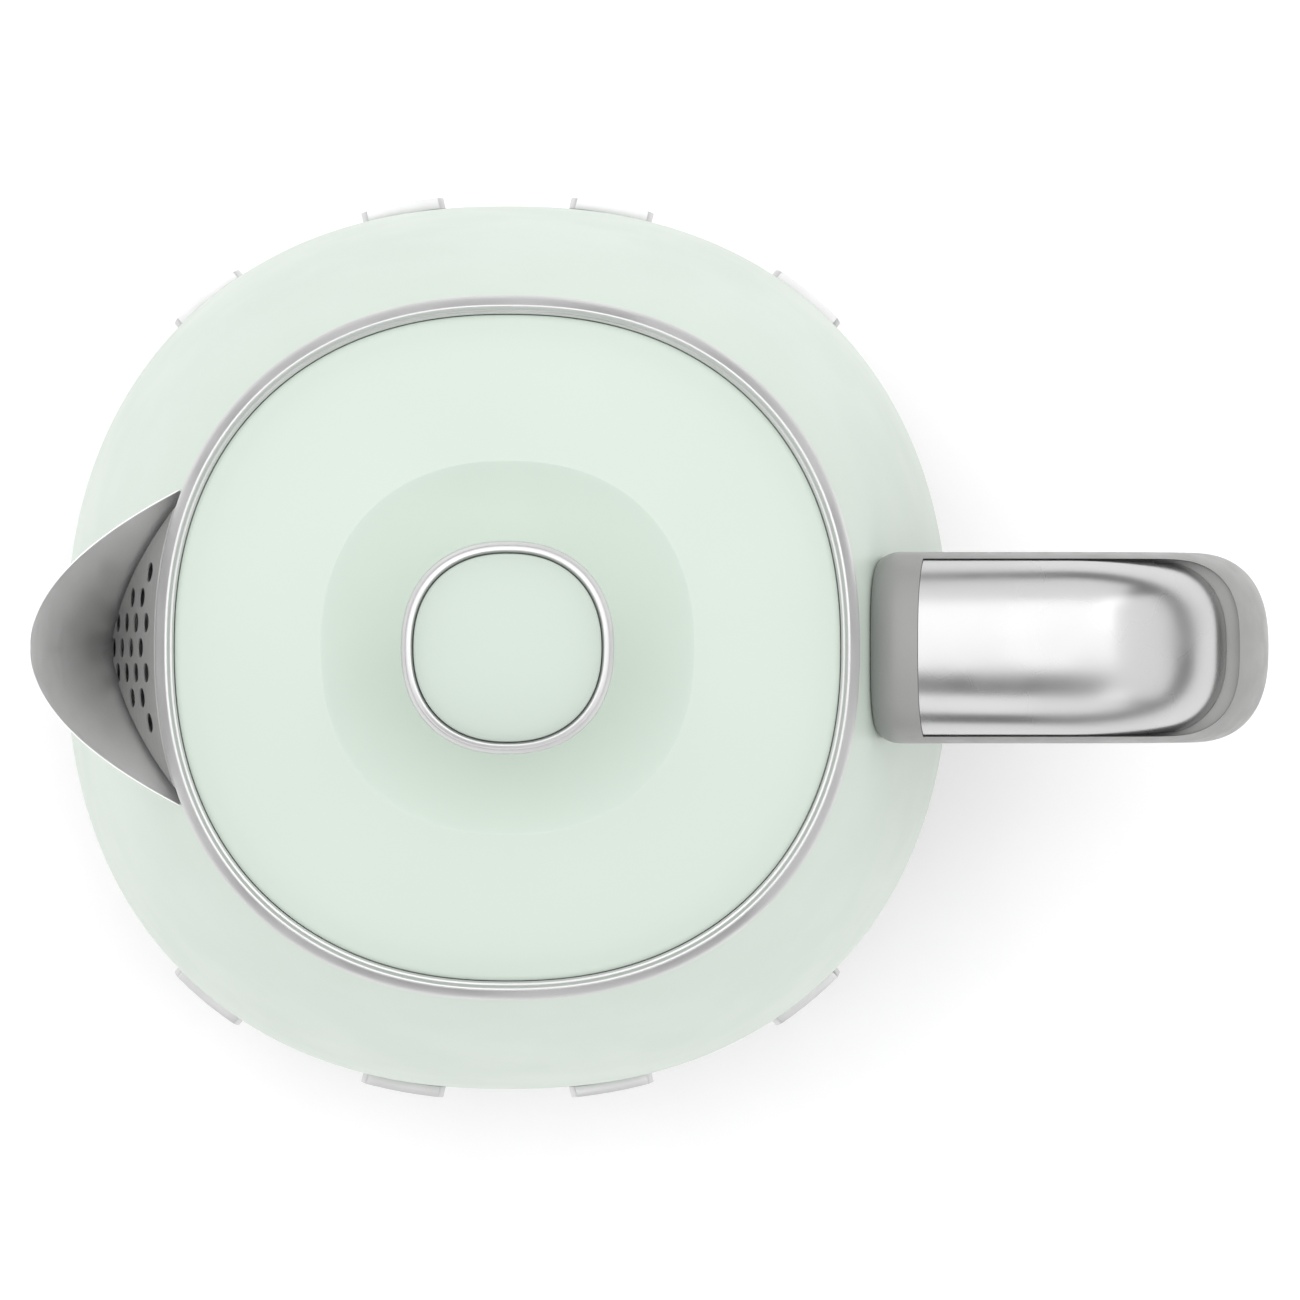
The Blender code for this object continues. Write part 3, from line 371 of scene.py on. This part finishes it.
def polished(name, colour, roughness):
    """Bright plating, with faint wiping marks."""
    made = Finish(name, colour, roughness, 1.0)
    made.vary_roughness(made.noise(50, detail=2), 0.85 * roughness, 1.2 * roughness)
    made.bump(made.noise(30, detail=1), 0.00001, 0.01)
    return made.material


def brushed(name, colour, stretch, roughness=0.32, round_axis=False, metallic=1.0):
    """Steel with fine brush lines along the axis that stretch leaves smallest."""
    made = Finish(name, colour, roughness, metallic)
    lines = made.noise(900, stretch, detail=3, round_axis=round_axis)
    patches = made.noise(25, detail=2)
    made.vary_colour(patches, colour, tuple(0.93 * channel for channel in colour))
    made.vary_roughness(lines, roughness - 0.06, roughness + 0.07)
    made.bump(lines, 0.00002, 0.15)
    return made.material


def moulded(name, colour, roughness, grain=1600, height=0.00004):
    """Plastic or rubber from a textured mould."""
    made = Finish(name, colour, roughness)
    made.vary_colour(made.noise(35, detail=3), colour, tuple(0.93 * channel for channel in colour))
    made.vary_roughness(made.noise(220, detail=3), roughness - 0.06, roughness + 0.07)
    made.bump(made.noise(grain, detail=2), height, 0.5)
    return made.material


def clear_plastic(name):
    made = Finish(name, (0.92, 0.96, 0.97), 0.05)
    made.shader.inputs["Transmission Weight"].default_value = 0.9
    made.shader.inputs["IOR"].default_value = 1.49
    made.vary_roughness(made.noise(120), 0.03, 0.1)
    made.bump(made.noise(200, detail=2), 0.00002, 0.2)
    return made.material


MINT = enamel("mint_enamel", (0.645, 0.725, 0.655))
KNOB_MINT = enamel("knob_enamel", (0.585, 0.665, 0.60))
CHROME = polished("chrome", (0.62, 0.62, 0.62), 0.24)
COVER_CHROME = polished("cover_chrome", (0.56, 0.56, 0.56), 0.28)
SATIN = polished("satin_chrome", (0.66, 0.655, 0.66), 0.38)
SPOUT_STEEL = brushed("spout_steel", (0.84, 0.84, 0.835), (1, 0.04, 1), 0.45, metallic=0.5)
PLATE_STEEL = brushed("strainer_steel", (0.52, 0.52, 0.515), (1, 0.04, 1), 0.42, metallic=0.55)
TURNED_STEEL = brushed("turned_steel", (0.62, 0.62, 0.62), (1, 1, 1), 0.3, round_axis=True)
PRESSED_STEEL = brushed("pressed_steel", (0.58, 0.58, 0.59), (0.05, 1, 1), 0.3)
GREY = moulded("grey_plastic", (0.31, 0.31, 0.305), 0.42)
DARK = moulded("dark_plastic", (0.028, 0.028, 0.03), 0.5)
SILICONE = moulded("silicone", (0.32, 0.33, 0.33), 0.62, 900, 0.00006)
BRASS = brushed("brass", (0.78, 0.58, 0.27), (1, 1, 1), 0.26, round_axis=True)
CLEAR = clear_plastic("clear_plastic")
LENS = moulded("pilot_lens", (0.62, 0.10, 0.06), 0.2, 700, 0.00002)
PRINT = moulded("gauge_print", (0.78, 0.79, 0.79), 0.5, 2400, 0.00001)


# ---------- jug ----------


SPOUT_BACK = -56 * MM
CHANNEL_BACK = -54 * MM  # of the cutters, so that they pass through the sheet they cut
CHANNEL_LIFT = 4 * MM
BEAK_SHEET = 0.8 * MM
BEAK_PLAN = 30 * MM  # half the width, squared, over the distance from the tip
CHANNEL_DEPTH = 44 * MM
CHANNEL_REACH = 9.45 * MM  # from the tip to where most of the depth is reached


def spout_rim_height(x):
    """The rim climbs a little towards the tip."""
    return RIM_HEIGHT - 0.4 * MM + 0.12 * (-59 * MM - x)


def spout_solid(name, grow, low_x, lift=0.0, *finishes):
    """The space inside the beak, grown outwards by grow, from low_x out to the tip."""
    stations, across_steps = 44, 64
    tip = SPOUT_LOW.x + BEAK_SHEET - grow
    sections = []
    for i in range(stations + 1):
        distance = max(0.01 * MM, (low_x - tip) * (i / stations) ** 2)
        x = tip + distance
        half = math.sqrt(BEAK_PLAN * distance) + 0.8 * grow - 0.4 * MM * min(1, distance / MM)
        depth = CHANNEL_DEPTH * (1 - math.exp(-((distance / CHANNEL_REACH) ** 1.3)))
        rim = spout_rim_height(x)
        floor = rim - depth - grow
        section = []
        for j in range(across_steps + 1):
            across = -1 + 2 * j / across_steps
            section.append(Vector((x, across * half, floor + (rim - floor) * abs(across) ** 1.45)))
        if lift:
            ends = [Vector((x, side * half, rim + lift)) for side in (-1, 1)]
            section = [ends[0]] + section + [ends[1]]
        sections.append(section)
    return lofted(name, sections, *finishes)


def jug_wall():
    wall = wall_layer("jug_wall", 0, -WALL, FOOT_HEIGHT, RIM_HEIGHT, MINT, TURNED_STEEL)
    middle = {}
    for face in wall.data.polygons:
        centre = face.center
        reach = math.hypot(centre.x, centre.y)
        outer = wall_radius(centre.z) * plan_factor(centre.x, centre.y, centre.z)
        middle[face.index] = reach < outer - 0.6 * WALL
    for face in wall.data.polygons:
        face.material_index = int(middle[face.index])
    gauge_slot = prism("gauge_slot", (60 * MM, -4.5 * MM, GAUGE_LOW), (99 * MM, 4.5 * MM, GAUGE_HIGH))
    cut(
        wall,
        spout_solid("window", 1.25 * MM, SPOUT_BACK, 3 * MM),
        bevelled(gauge_slot, 4 * MM, 8),
        prism("switch_slot", (70 * MM, -8.2 * MM, 27 * MM), (95 * MM, 8.2 * MM, 38.6 * MM)),
        rods("hose_holes", [((58 * MM, 0, 184.5 * MM), (78 * MM, 0, 184.5 * MM))], 4.2 * MM),
    )
    stands_for(wall, "jug", "mint", "jug_shell")


def collar():
    """The ring round the mouth: a satin band outside, a bright bead and a thinner one inside."""
    inner, outer, top = 60.5 * MM, COLLAR_HIGH.x, COLLAR_HIGH.z
    seat = RIM_HEIGHT + 0.3 * MM
    band = [
        (inner + 1.0 * MM, COLLAR_LOW.z),
        (inner + 1.0 * MM, seat),
        (outer, seat),
        (outer, top - 1.9 * MM),
        (outer - 0.6 * MM, top - 1.1 * MM),
        (outer - 1.4 * MM, top - 0.4 * MM),
        (outer - 1.8 * MM, top),
        (inner + 1.2 * MM, top - 0.05 * MM),
        (inner + 0.75 * MM, top - 0.8 * MM),
        (inner + 0.35 * MM, top - 0.9 * MM),
        (inner, top - 1.2 * MM),
        (inner, COLLAR_LOW.z),
    ]
    ring = turned("mouth_collar", soft(band, 0.35 * MM), SATIN)
    stands_for(ring, "jug", "chrome", "collar_ring")
    foot = [
        (76 * MM, 21.6 * MM),
        (77.5 * MM, TRIM_LOW.z),
        (79.4 * MM, 22.5 * MM),
        (TRIM_HIGH.x, TRIM_HIGH.z - 0.4 * MM),
        (79.4 * MM, TRIM_HIGH.z),
        (76 * MM, TRIM_HIGH.z),
    ]
    trim = turned("foot_trim", soft(foot, 0.8 * MM), CHROME, squared=False)
    stands_for(trim, "jug", "chrome", "bottom_trim")


def bars():
    """Rounded plain bars, four on each side of the wall."""
    low, high, reach = BAR_LOW.z, BAR_HIGH.z, WIDEST_RADIUS
    leans = (-40.6, -13.4, 13.4, 40.6)
    angles = [math.radians(side + lean) for side in (90, -90) for lean in leans]
    half_length = 8 * MM
    for number, angle in enumerate(angles, start=1):
        name = f"bar_{number}"
        layer = wall_layer(name, 2.35 * MM, 0.3 * MM, low, high, SATIN, steps=8)
        corner = Vector((reach / 2, half_length, high + MM))
        block = prism(f"{name}_block", (-corner.x, -corner.y, low - MM), corner)
        bevelled(block, 3.6 * MM, 6)
        block.location = Vector((math.cos(angle), math.sin(angle), 0)) * reach
        block.rotation_euler = (0, 0, angle)
        bpy.context.view_layer.update()
        combine(layer, block, "INTERSECT")
        bevelled(layer, 0.6 * MM, 3)
        stands_for(layer, "jug", "chrome", f"side_bar_{number}")


def gauge():
    """The level window, its flange behind the wall and the ticks printed on it."""
    low, high = GAUGE_LOW, GAUGE_HIGH
    pane = wall_layer("level_window", 0.5 * MM, -2.4 * MM, 76 * MM, 169 * MM, CLEAR, steps=24)
    block = prism("pane_block", (60 * MM, -4.2 * MM, low + 0.3 * MM), (95 * MM, 4.2 * MM, high - 0.3 * MM))
    combine(pane, bevelled(block, 3.7 * MM, 8), "INTERSECT")
    flange = wall_layer("flange", -2.3 * MM, -3.5 * MM, 76 * MM, 169 * MM, CLEAR, steps=24)
    border = prism("border", (60 * MM, -7.5 * MM, 77 * MM), (95 * MM, 7.5 * MM, 168 * MM))
    combine(flange, border, "INTERSECT")
    combine(pane, flange, "UNION")
    stands_for(bevelled(pane, 0.25 * MM, 2), "jug", "clear", "gauge_window")
    work = bmesh.new()
    count = 13
    for i in range(count):
        height = low + 8 * MM + (high - low - 16 * MM) * i / (count - 1)
        width = 3.4 * MM if i % 3 == 0 else 2.0 * MM
        made = bmesh.ops.create_cube(work, size=1)
        bmesh.ops.scale(work, vec=(0.24 * MM, width, 0.45 * MM), verts=made["verts"])
        place = Vector((wall_radius(height) + 0.5 * MM, -0.5 * (3.4 * MM - width), height))
        bmesh.ops.translate(work, vec=place, verts=made["verts"])
    mesh = bpy.data.meshes.new("level_marks")
    work.to_mesh(mesh)
    work.free()
    stands_for(add("level_marks", mesh, PRINT), "jug", "grey_plastic")


# ---------- spout ----------


def spout():
    beak = spout_solid("beak", BEAK_SHEET, SPOUT_BACK, 0.0, SPOUT_STEEL)
    channel = spout_solid("channel", 0.6 * MM, CHANNEL_BACK, CHANNEL_LIFT)
    cut(beak, channel, wall_solid("jug_inside", -WALL), collar_room())
    stands_for(bevelled(beak, 0.12 * MM, 2, 50), "jug", "steel", "spout")


def collar_room():
    """The room that the collar and the lid fill above the wall."""
    low, high, radius = 197 * MM, 214 * MM, COLLAR_HIGH.x + 0.3 * MM
    return turned("collar_room", [(0, low), (radius, low), (radius, high), (0, high)])


def strainer():
    """A thin plate behind the beak, with staggered columns of holes that point up at the pourer."""
    outer, inner, low, high = -0.2 * MM, -0.5 * MM, 162 * MM, 199.5 * MM
    plate = wall_layer("strainer_plate", outer, inner, low, high, PLATE_STEEL, steps=16)
    outline = spout_solid("strainer_outline", -0.3 * MM, CHANNEL_BACK, CHANNEL_LIFT)
    combine(plate, outline, "INTERSECT")
    pitch_y, pitch_z, lowest, highest = 4.57 * MM, 7.05 * MM, 170.8 * MM, 197 * MM
    channel_curve = 122  # the channel's floor rises by this times the distance from its middle, squared
    places = []
    for column in range(-3, 4):
        y = column * pitch_y
        for row in range(5):
            z = lowest + (row + 0.5 * (column % 2)) * pitch_z
            if lowest + channel_curve * y * y <= z <= highest:
                places.append(((-80 * MM, y, z + 4 * MM), (-54 * MM, y, z - 5 * MM)))
    cut(plate, rods("strainer_holes", places, 1.8 * MM))
    stands_for(plate, "jug", "steel", "strainer")


# ---------- handle ----------

TOP_AXIS = 184.5 * MM
BEND_START = 101.5 * MM
BEND_RADIUS = 24 * MM
FOOT_AXIS = 51 * MM
RISE = FRAME_HIGH.z - TOP_AXIS
DROP = 9.5 * MM
HALF_WIDTH = FRAME_HIGH.y
COVER_HALF = 16.1 * MM
COVER_BEND = 18.5 * MM
POCKET_BEND = 15 * MM
POCKET_END = 134.1 * MM
POCKET_RISE = 34 * MM  # from the bend's centre to the pocket's outline, straight up
POCKET_GAP = 0.15 * MM
POCKET_FLOOR = 180.3 * MM  # of the groove between the cover's end and the handle's lip
GRIP_POWER = 2.5


def arc(centre, radius, start, end, steps):
    """(point, outward direction) pairs in the XZ plane."""
    found = []
    for i in range(steps + 1):
        angle = math.radians(start + (end - start) * i / steps)
        outward = Vector((math.cos(angle), 0, math.sin(angle)))
        found.append((Vector((centre[0], 0, centre[1])) + outward * radius, outward))
    return found


def handle_line(bend_radius, front, end_height=None, steps=30):
    """The sweep line of the handle's top: straight back, round the bend, and down to end_height."""
    centre = (BEND_START, TOP_AXIS - bend_radius)
    line = [(Vector((front, 0, TOP_AXIS)), UP)] + arc(centre, bend_radius, 90, 0, steps)
    if end_height is not None:
        line.append((Vector((BEND_START + bend_radius, 0, end_height)), Vector((1, 0, 0))))
    return line


def foot_line(back):
    """The sweep line of the handle's lower end, round its bend and forward to the wall."""
    centre = (BEND_START, FOOT_AXIS + BEND_RADIUS)
    return arc(centre, BEND_RADIUS, 0, -90, 26) + [(Vector((back, 0, FOOT_AXIS)), -UP)]


def oval(point, outward, half_width, rise, drop, power, count=80):
    """A section across the handle, rise above its line on the outside and drop below it inside."""
    section = []
    for i in range(count):
        angle = 2 * math.pi * i / count
        across, out = math.cos(angle), math.sin(angle)
        y = half_width * math.copysign(abs(across) ** (2 / power), across)
        reach = (rise if out > 0 else drop) * math.copysign(abs(out) ** (2 / power), out)
        section.append(point + outward * reach + Vector((0, y, 0)))
    return section


def crown(point, outward, half_width, rise, floor, power, count=48):
    """The outer arc of an oval, from one side at height floor over to the other."""
    start = math.asin((floor / rise) ** (power / 2))
    section = []
    for i in range(count + 1):
        angle = start + (math.pi - 2 * start) * i / count
        across, out = math.cos(angle), math.sin(angle)
        y = half_width * math.copysign(abs(across) ** (2 / power), across)
        section.append(point + outward * (rise * abs(out) ** (2 / power)) + Vector((0, y, 0)))
    return section


def cover_line(bend_radius, front, end):
    """The cover's sweep line. Its first section leans, so that the cover's edge bows forwards."""
    lean = 0.165
    line = handle_line(bend_radius, front + lean * RISE, end)
    line[0] = (line[0][0], Vector((-lean, 0, 1)))
    return line


def pocket_section(point, outward):
    """The room for the cover: square at the top, rounded where it dives behind the bend."""
    across = max(0, outward.x) / (POCKET_END - BEND_START)
    reach = (across**5 + (outward.z / POCKET_RISE) ** 5) ** -0.2
    power = 2.4 + 5.6 * outward.z**2
    return crown(point, outward, COVER_HALF + POCKET_GAP, reach - POCKET_BEND, 4 * MM, power)


def below(name, height):
    """All the room round the handle's bend below this height."""
    return prism(name, (95 * MM, -30 * MM, 100 * MM), (160 * MM, 30 * MM, height))


def handle():
    """The grey grip, with its pocket, and the bright cover that lies in it."""
    nose, nose_steps = 8 * MM, 12
    front = FRAME_LOW.x - 3.5 * MM
    sections = []
    for i in range(1, nose_steps + 1):
        turn = math.pi / 2 * i / nose_steps
        point = Vector((front + nose * (1 - math.cos(turn)), 0, TOP_AXIS))
        share = 1 - 0.7 * (1 - math.sin(turn))
        rise = RISE * (0.1 + 0.9 * math.sin(turn))
        sections.append(oval(point, UP, HALF_WIDTH * share, rise, DROP, GRIP_POWER))
    for point, outward in handle_line(BEND_RADIUS, 90 * MM):
        sections.append(oval(point, outward, HALF_WIDTH, RISE, DROP, GRIP_POWER))
    foot = foot_line(74 * MM)
    for i, (point, outward) in enumerate(foot):
        share = smoothstep(i / (len(foot) - 2))
        sections.append(oval(point, outward, HALF_WIDTH, RISE - 4 * MM * share, DROP, GRIP_POWER))
    grip = lofted("grip", sections, GREY)
    line = cover_line(POCKET_BEND, COVER_LOW.x - 0.1 * MM, COVER_LOW.z - 1.5 * MM)
    pocket = lofted("pocket", [pocket_section(point, outward) for point, outward in line])
    cut(pocket, below("pocket_floor", POCKET_FLOOR))
    cut(grip, wall_solid("jug_outside", 0.3 * MM), pocket)
    stands_for(bevelled(grip, 0.2 * MM, 2, 40), "jug", "grey_plastic", "handle_frame")

    edge, skin = 7.3 * MM, 1.2 * MM
    sections = []
    for point, outward in cover_line(COVER_BEND, COVER_LOW.x, COVER_LOW.z):
        half_width = COVER_HALF + 1.0 * MM * outward.z**2
        outer = crown(point, outward, half_width, RISE, edge, 2.6)
        inner = crown(point, outward, half_width - skin, RISE - skin, edge, 2.6)
        sections.append(outer + inner[::-1])
    cover = lofted("grip_cover", sections, COVER_CHROME)
    cut(cover, below("cover_end", POCKET_FLOOR + POCKET_GAP))
    stands_for(bevelled(cover, 0.15 * MM, 2, 40), "jug", "chrome", "handle_cover")


# ---------- lid ----------


def lid_profile(offset):
    """(radius, height) points from the lid's edge over its dome and down the dish to the knob."""
    edge, rim, neck = DOME_HIGH.x + 0.38 * MM, 33.7 * MM, 9 * MM
    low, high, floor = 205 * MM, DOME_HIGH.z, 213 * MM
    line = []
    for i in range(25):
        share = i / 24
        radius = edge + (rim - edge) * share
        line.append((radius, low + (high - low) * share**0.82 - offset))
    for i in range(1, 21):
        share = i / 20
        radius = rim - (rim - neck) * share
        line.append((radius, high + (floor - high) * math.sin(share * math.pi / 2) - offset))
    return line


def lid():
    """The dished dome, and on it the knob's stem, ring and cap."""
    outer, inner = lid_profile(0), lid_profile(1.2 * MM)
    hole, edge = 3 * MM, outer[0][0]
    underside = [(hole, outer[-1][1]), (hole, inner[-1][1])] + inner[:0:-1]
    foot = [(edge - 1.6 * MM, inner[0][1]), (edge, inner[0][1])]
    dome = turned("lid_top", soft(outer + underside + foot, 0.35 * MM, 3), MINT)
    stands_for(dome, "lid", "mint", "lid_dome")

    neck = [
        (9.5 * MM, 213.4 * MM),
        (8.8 * MM, 215 * MM),
        (8.6 * MM, 218 * MM),
        (9.6 * MM, 224 * MM),
        (13 * MM, 230.5 * MM),
        (17.6 * MM, 236 * MM),
        (18.6 * MM, 238.6 * MM),
        (15.5 * MM, 238.6 * MM),
        (15.5 * MM, 241.5 * MM),
    ]
    stem = soft([(0, 213.4 * MM)] + neck + [(0, 241.5 * MM)], 5 * MM, 6, closed=False)
    stands_for(turned("knob_stem", stem, MINT), "lid", "mint", "knob_body")

    radius = RING_HIGH.x
    band = [
        (16.2 * MM, RING_LOW.z),
        (radius - 0.5 * MM, RING_LOW.z),
        (radius, 240.4 * MM),
        (radius - 0.2 * MM, 242.1 * MM),
        (radius - 0.9 * MM, RING_HIGH.z - 0.2 * MM),
        (17.3 * MM, RING_HIGH.z),
        (16.9 * MM, 242.8 * MM),
        (16.9 * MM, 241.0 * MM),
        (16.2 * MM, 241.0 * MM),
    ]
    stands_for(turned("knob_band", soft(band, 0.8 * MM), SATIN), "lid", "chrome", "knob_ring")

    top, edge, steps = CAP_HIGH.z, 16.8 * MM, 16
    dome_low = 242.9 * MM
    cap = [(0, CAP_LOW.z), (16.5 * MM, CAP_LOW.z), (edge, dome_low)]
    for i in range(1, steps + 1):
        turn = math.pi / 2 * i / steps
        radius = edge * math.cos(turn) if i < steps else 0
        cap.append((radius, dome_low + (top - dome_low) * math.sin(turn) ** 0.9))
    stands_for(turned("knob_top", cap, KNOB_MINT), "lid", "mint", "knob_cap")


# ---------- power base and switch ----------


def base():
    """The steel cover of the power base and the dark deck let into it."""
    radius, top = BASE_HIGH.x, BASE_HIGH.z
    skirt = [
        (radius - MM, BASE_LOW.z),
        (radius, BASE_LOW.z),
        (radius, 12.8 * MM),
        (radius - 2 * MM, 16.8 * MM),
        (radius - 7 * MM, top),
        (40 * MM, top),
        (40 * MM, top - MM),
        (radius - 7.3 * MM, top - MM),
        (radius - 2.8 * MM, 16 * MM),
        (radius - MM, 12.6 * MM),
    ]
    cover = turned("base_cover", soft(skirt, 3 * MM, 6), TURNED_STEEL, squared=False)
    outlet = prism("outlet", (60 * MM, -5 * MM, -MM), (90 * MM, 5 * MM, 9.7 * MM))
    cut(cover, bevelled(outlet, 1.2 * MM, 3))
    stands_for(cover, "power_base", "steel", "base_shell")
    deck = [
        (16 * MM, 15.2 * MM),
        (44 * MM, 15.2 * MM),
        (44 * MM, top - 1.3 * MM),
        (39.6 * MM, top - 1.3 * MM),
        (39.6 * MM, top),
        (22 * MM, top),
        (20.5 * MM, 17 * MM),
        (16 * MM, 17 * MM),
    ]
    inset = turned("base_inset", soft(deck, 0.6 * MM), DARK, squared=False)
    stands_for(inset, "power_base", "dark_plastic", "base_deck")


def lever():
    """The switch lever, a blade with a window for the pilot light, and its axle."""
    side = [
        (96 * MM, 32.6 * MM),
        (105 * MM, 36.2 * MM),
        (104 * MM, 38.6 * MM),
        (95 * MM, 36.4 * MM),
        (86 * MM, 35.6 * MM),
        (64.5 * MM, 35.5 * MM),
        (64.5 * MM, 31.5 * MM),
        (86 * MM, 31.2 * MM),
    ]
    outline = soft(side, 1.2 * MM)
    sections = []
    for y in (-7.5 * MM, 7.5 * MM):
        sections.append([Vector((x, y, z)) for x, z in outline])
    blade = lofted("switch_blade", sections, GREY)
    hole = prism("lens_hole", (90 * MM, -3.3 * MM, 28 * MM), (97 * MM, 3.3 * MM, 42 * MM))
    cut(blade, hole)
    bevelled(blade, 0.8 * MM, 4, 50)
    axle = rods("axle", [((70 * MM, -10 * MM, 33.5 * MM), (70 * MM, 10 * MM, 33.5 * MM))], 1.5 * MM, GREY)
    combine(blade, axle, "UNION")
    stands_for(blade, "lever", "grey_plastic", "switch_lever")


# ---------- finishes of the CAD nodes that stay ----------


def finish_kept_nodes():
    """Later finishes win: a name's start can match an earlier, shorter one."""
    kept = {
        TURNED_STEEL: ("heating_plate", "clamp_ring", "heat_spreader", "lid_pan"),
        DARK: (
            "base_bottom",
            "base_plug",
            "jug_socket",
            "chassis",
            "control_unit",
            "trip_rocker",
            "cord_gland",
        ),
        SILICONE: ("lid_seal", "plate_seal", "gauge_gasket", "steam_hose", "base_foot_"),
        BRASS: ("plug_earth_pin", "plug_contact", "dry_boil_disc", "steam_disc"),
        LENS: ("pilot_lens",),
        PRESSED_STEEL: (
            "lid_bracket",
            "lid_hinge_leaf",
            "lid_hinge_pin",
            "lid_spring",
            "handle_screw_",
            "chassis_screw_",
            "knob_screw",
            "heater_element",
        ),
    }
    for finish, starts in kept.items():
        for name, node in NODES.items():
            if name.startswith(starts):
                node.data.materials.clear()
                node.data.materials.append(finish)


# ---------- floor, light and camera ----------


def studio():
    work = bmesh.new()
    bmesh.ops.create_grid(work, x_segments=8, y_segments=8, size=3)
    mesh = bpy.data.meshes.new("floor")
    work.to_mesh(mesh)
    work.free()
    floor_finish = Finish("floor", (0.96, 0.96, 0.96), 0.7)
    floor_finish.vary_colour(floor_finish.noise(30), (0.97, 0.97, 0.97), (0.95, 0.95, 0.95))
    floor_finish.vary_roughness(floor_finish.noise(50), 0.6, 0.8)
    floor_finish.shader.inputs["Emission Color"].default_value = (1, 1, 1, 1)
    floor_finish.shader.inputs["Emission Strength"].default_value = 0.12
    floor = add("floor", mesh, floor_finish.material)

    world = bpy.data.worlds.new("studio")
    world.use_nodes = True
    background = world.node_tree.nodes["Background"]
    background.inputs["Color"].default_value = (1.0, 1.0, 1.0, 1)
    background.inputs["Strength"].default_value = 0.22
    bpy.context.scene.world = world

    def panel(name, place, size, glow):
        """A soft box facing the kettle; glow is its radiance."""
        light = bpy.data.lights.new(name, "AREA")
        light.shape = "RECTANGLE"
        light.size, light.size_y = size
        light.energy = glow * math.pi * size[0] * size[1]
        obj = bpy.data.objects.new(name, light)
        obj.location = place
        obj.rotation_euler = (Vector((0, 0, 0.1)) - Vector(place)).to_track_quat("-Z", "Y").to_euler()
        bpy.context.scene.collection.objects.link(obj)

    panel("overhead", (0, 0.55, 3.0), (3.8, 2.5), 1.6)
    panel("left_wall", (-2.4, 0, 1.9), (4.6, 2.6), 0.95)
    panel("right_wall", (2.4, 0, 1.9), (4.6, 2.6), 0.95)
    panel("back_wall", (0, 2.4, 1.9), (4.6, 2.3), 0.95)
    panel("front_wall", (0, -2.4, 1.9), (4.6, 1.8), 1.15)


def camera():
    """Straight down over the kettle's axis, from far enough away that nothing leans."""
    height = 2.6
    frame_width = 0.249  # what the frame spans at the wall's widest height
    data = bpy.data.cameras.new("camera")
    data.sensor_width = 36
    data.lens = 36 * (height - WIDEST_HEIGHT) / frame_width
    data.shift_x = 27.3 * MM / frame_width
    data.shift_y = -0.45 * MM / frame_width
    obj = bpy.data.objects.new("camera", data)
    obj.location = (0, 0, height)
    bpy.context.scene.collection.objects.link(obj)
    bpy.context.scene.camera = obj
    bpy.context.scene.view_settings.view_transform = "Standard"


jug_wall()
collar()
bars()
gauge()
spout()
strainer()
handle()
lid()
base()
lever()
finish_kept_nodes()
studio()
camera()
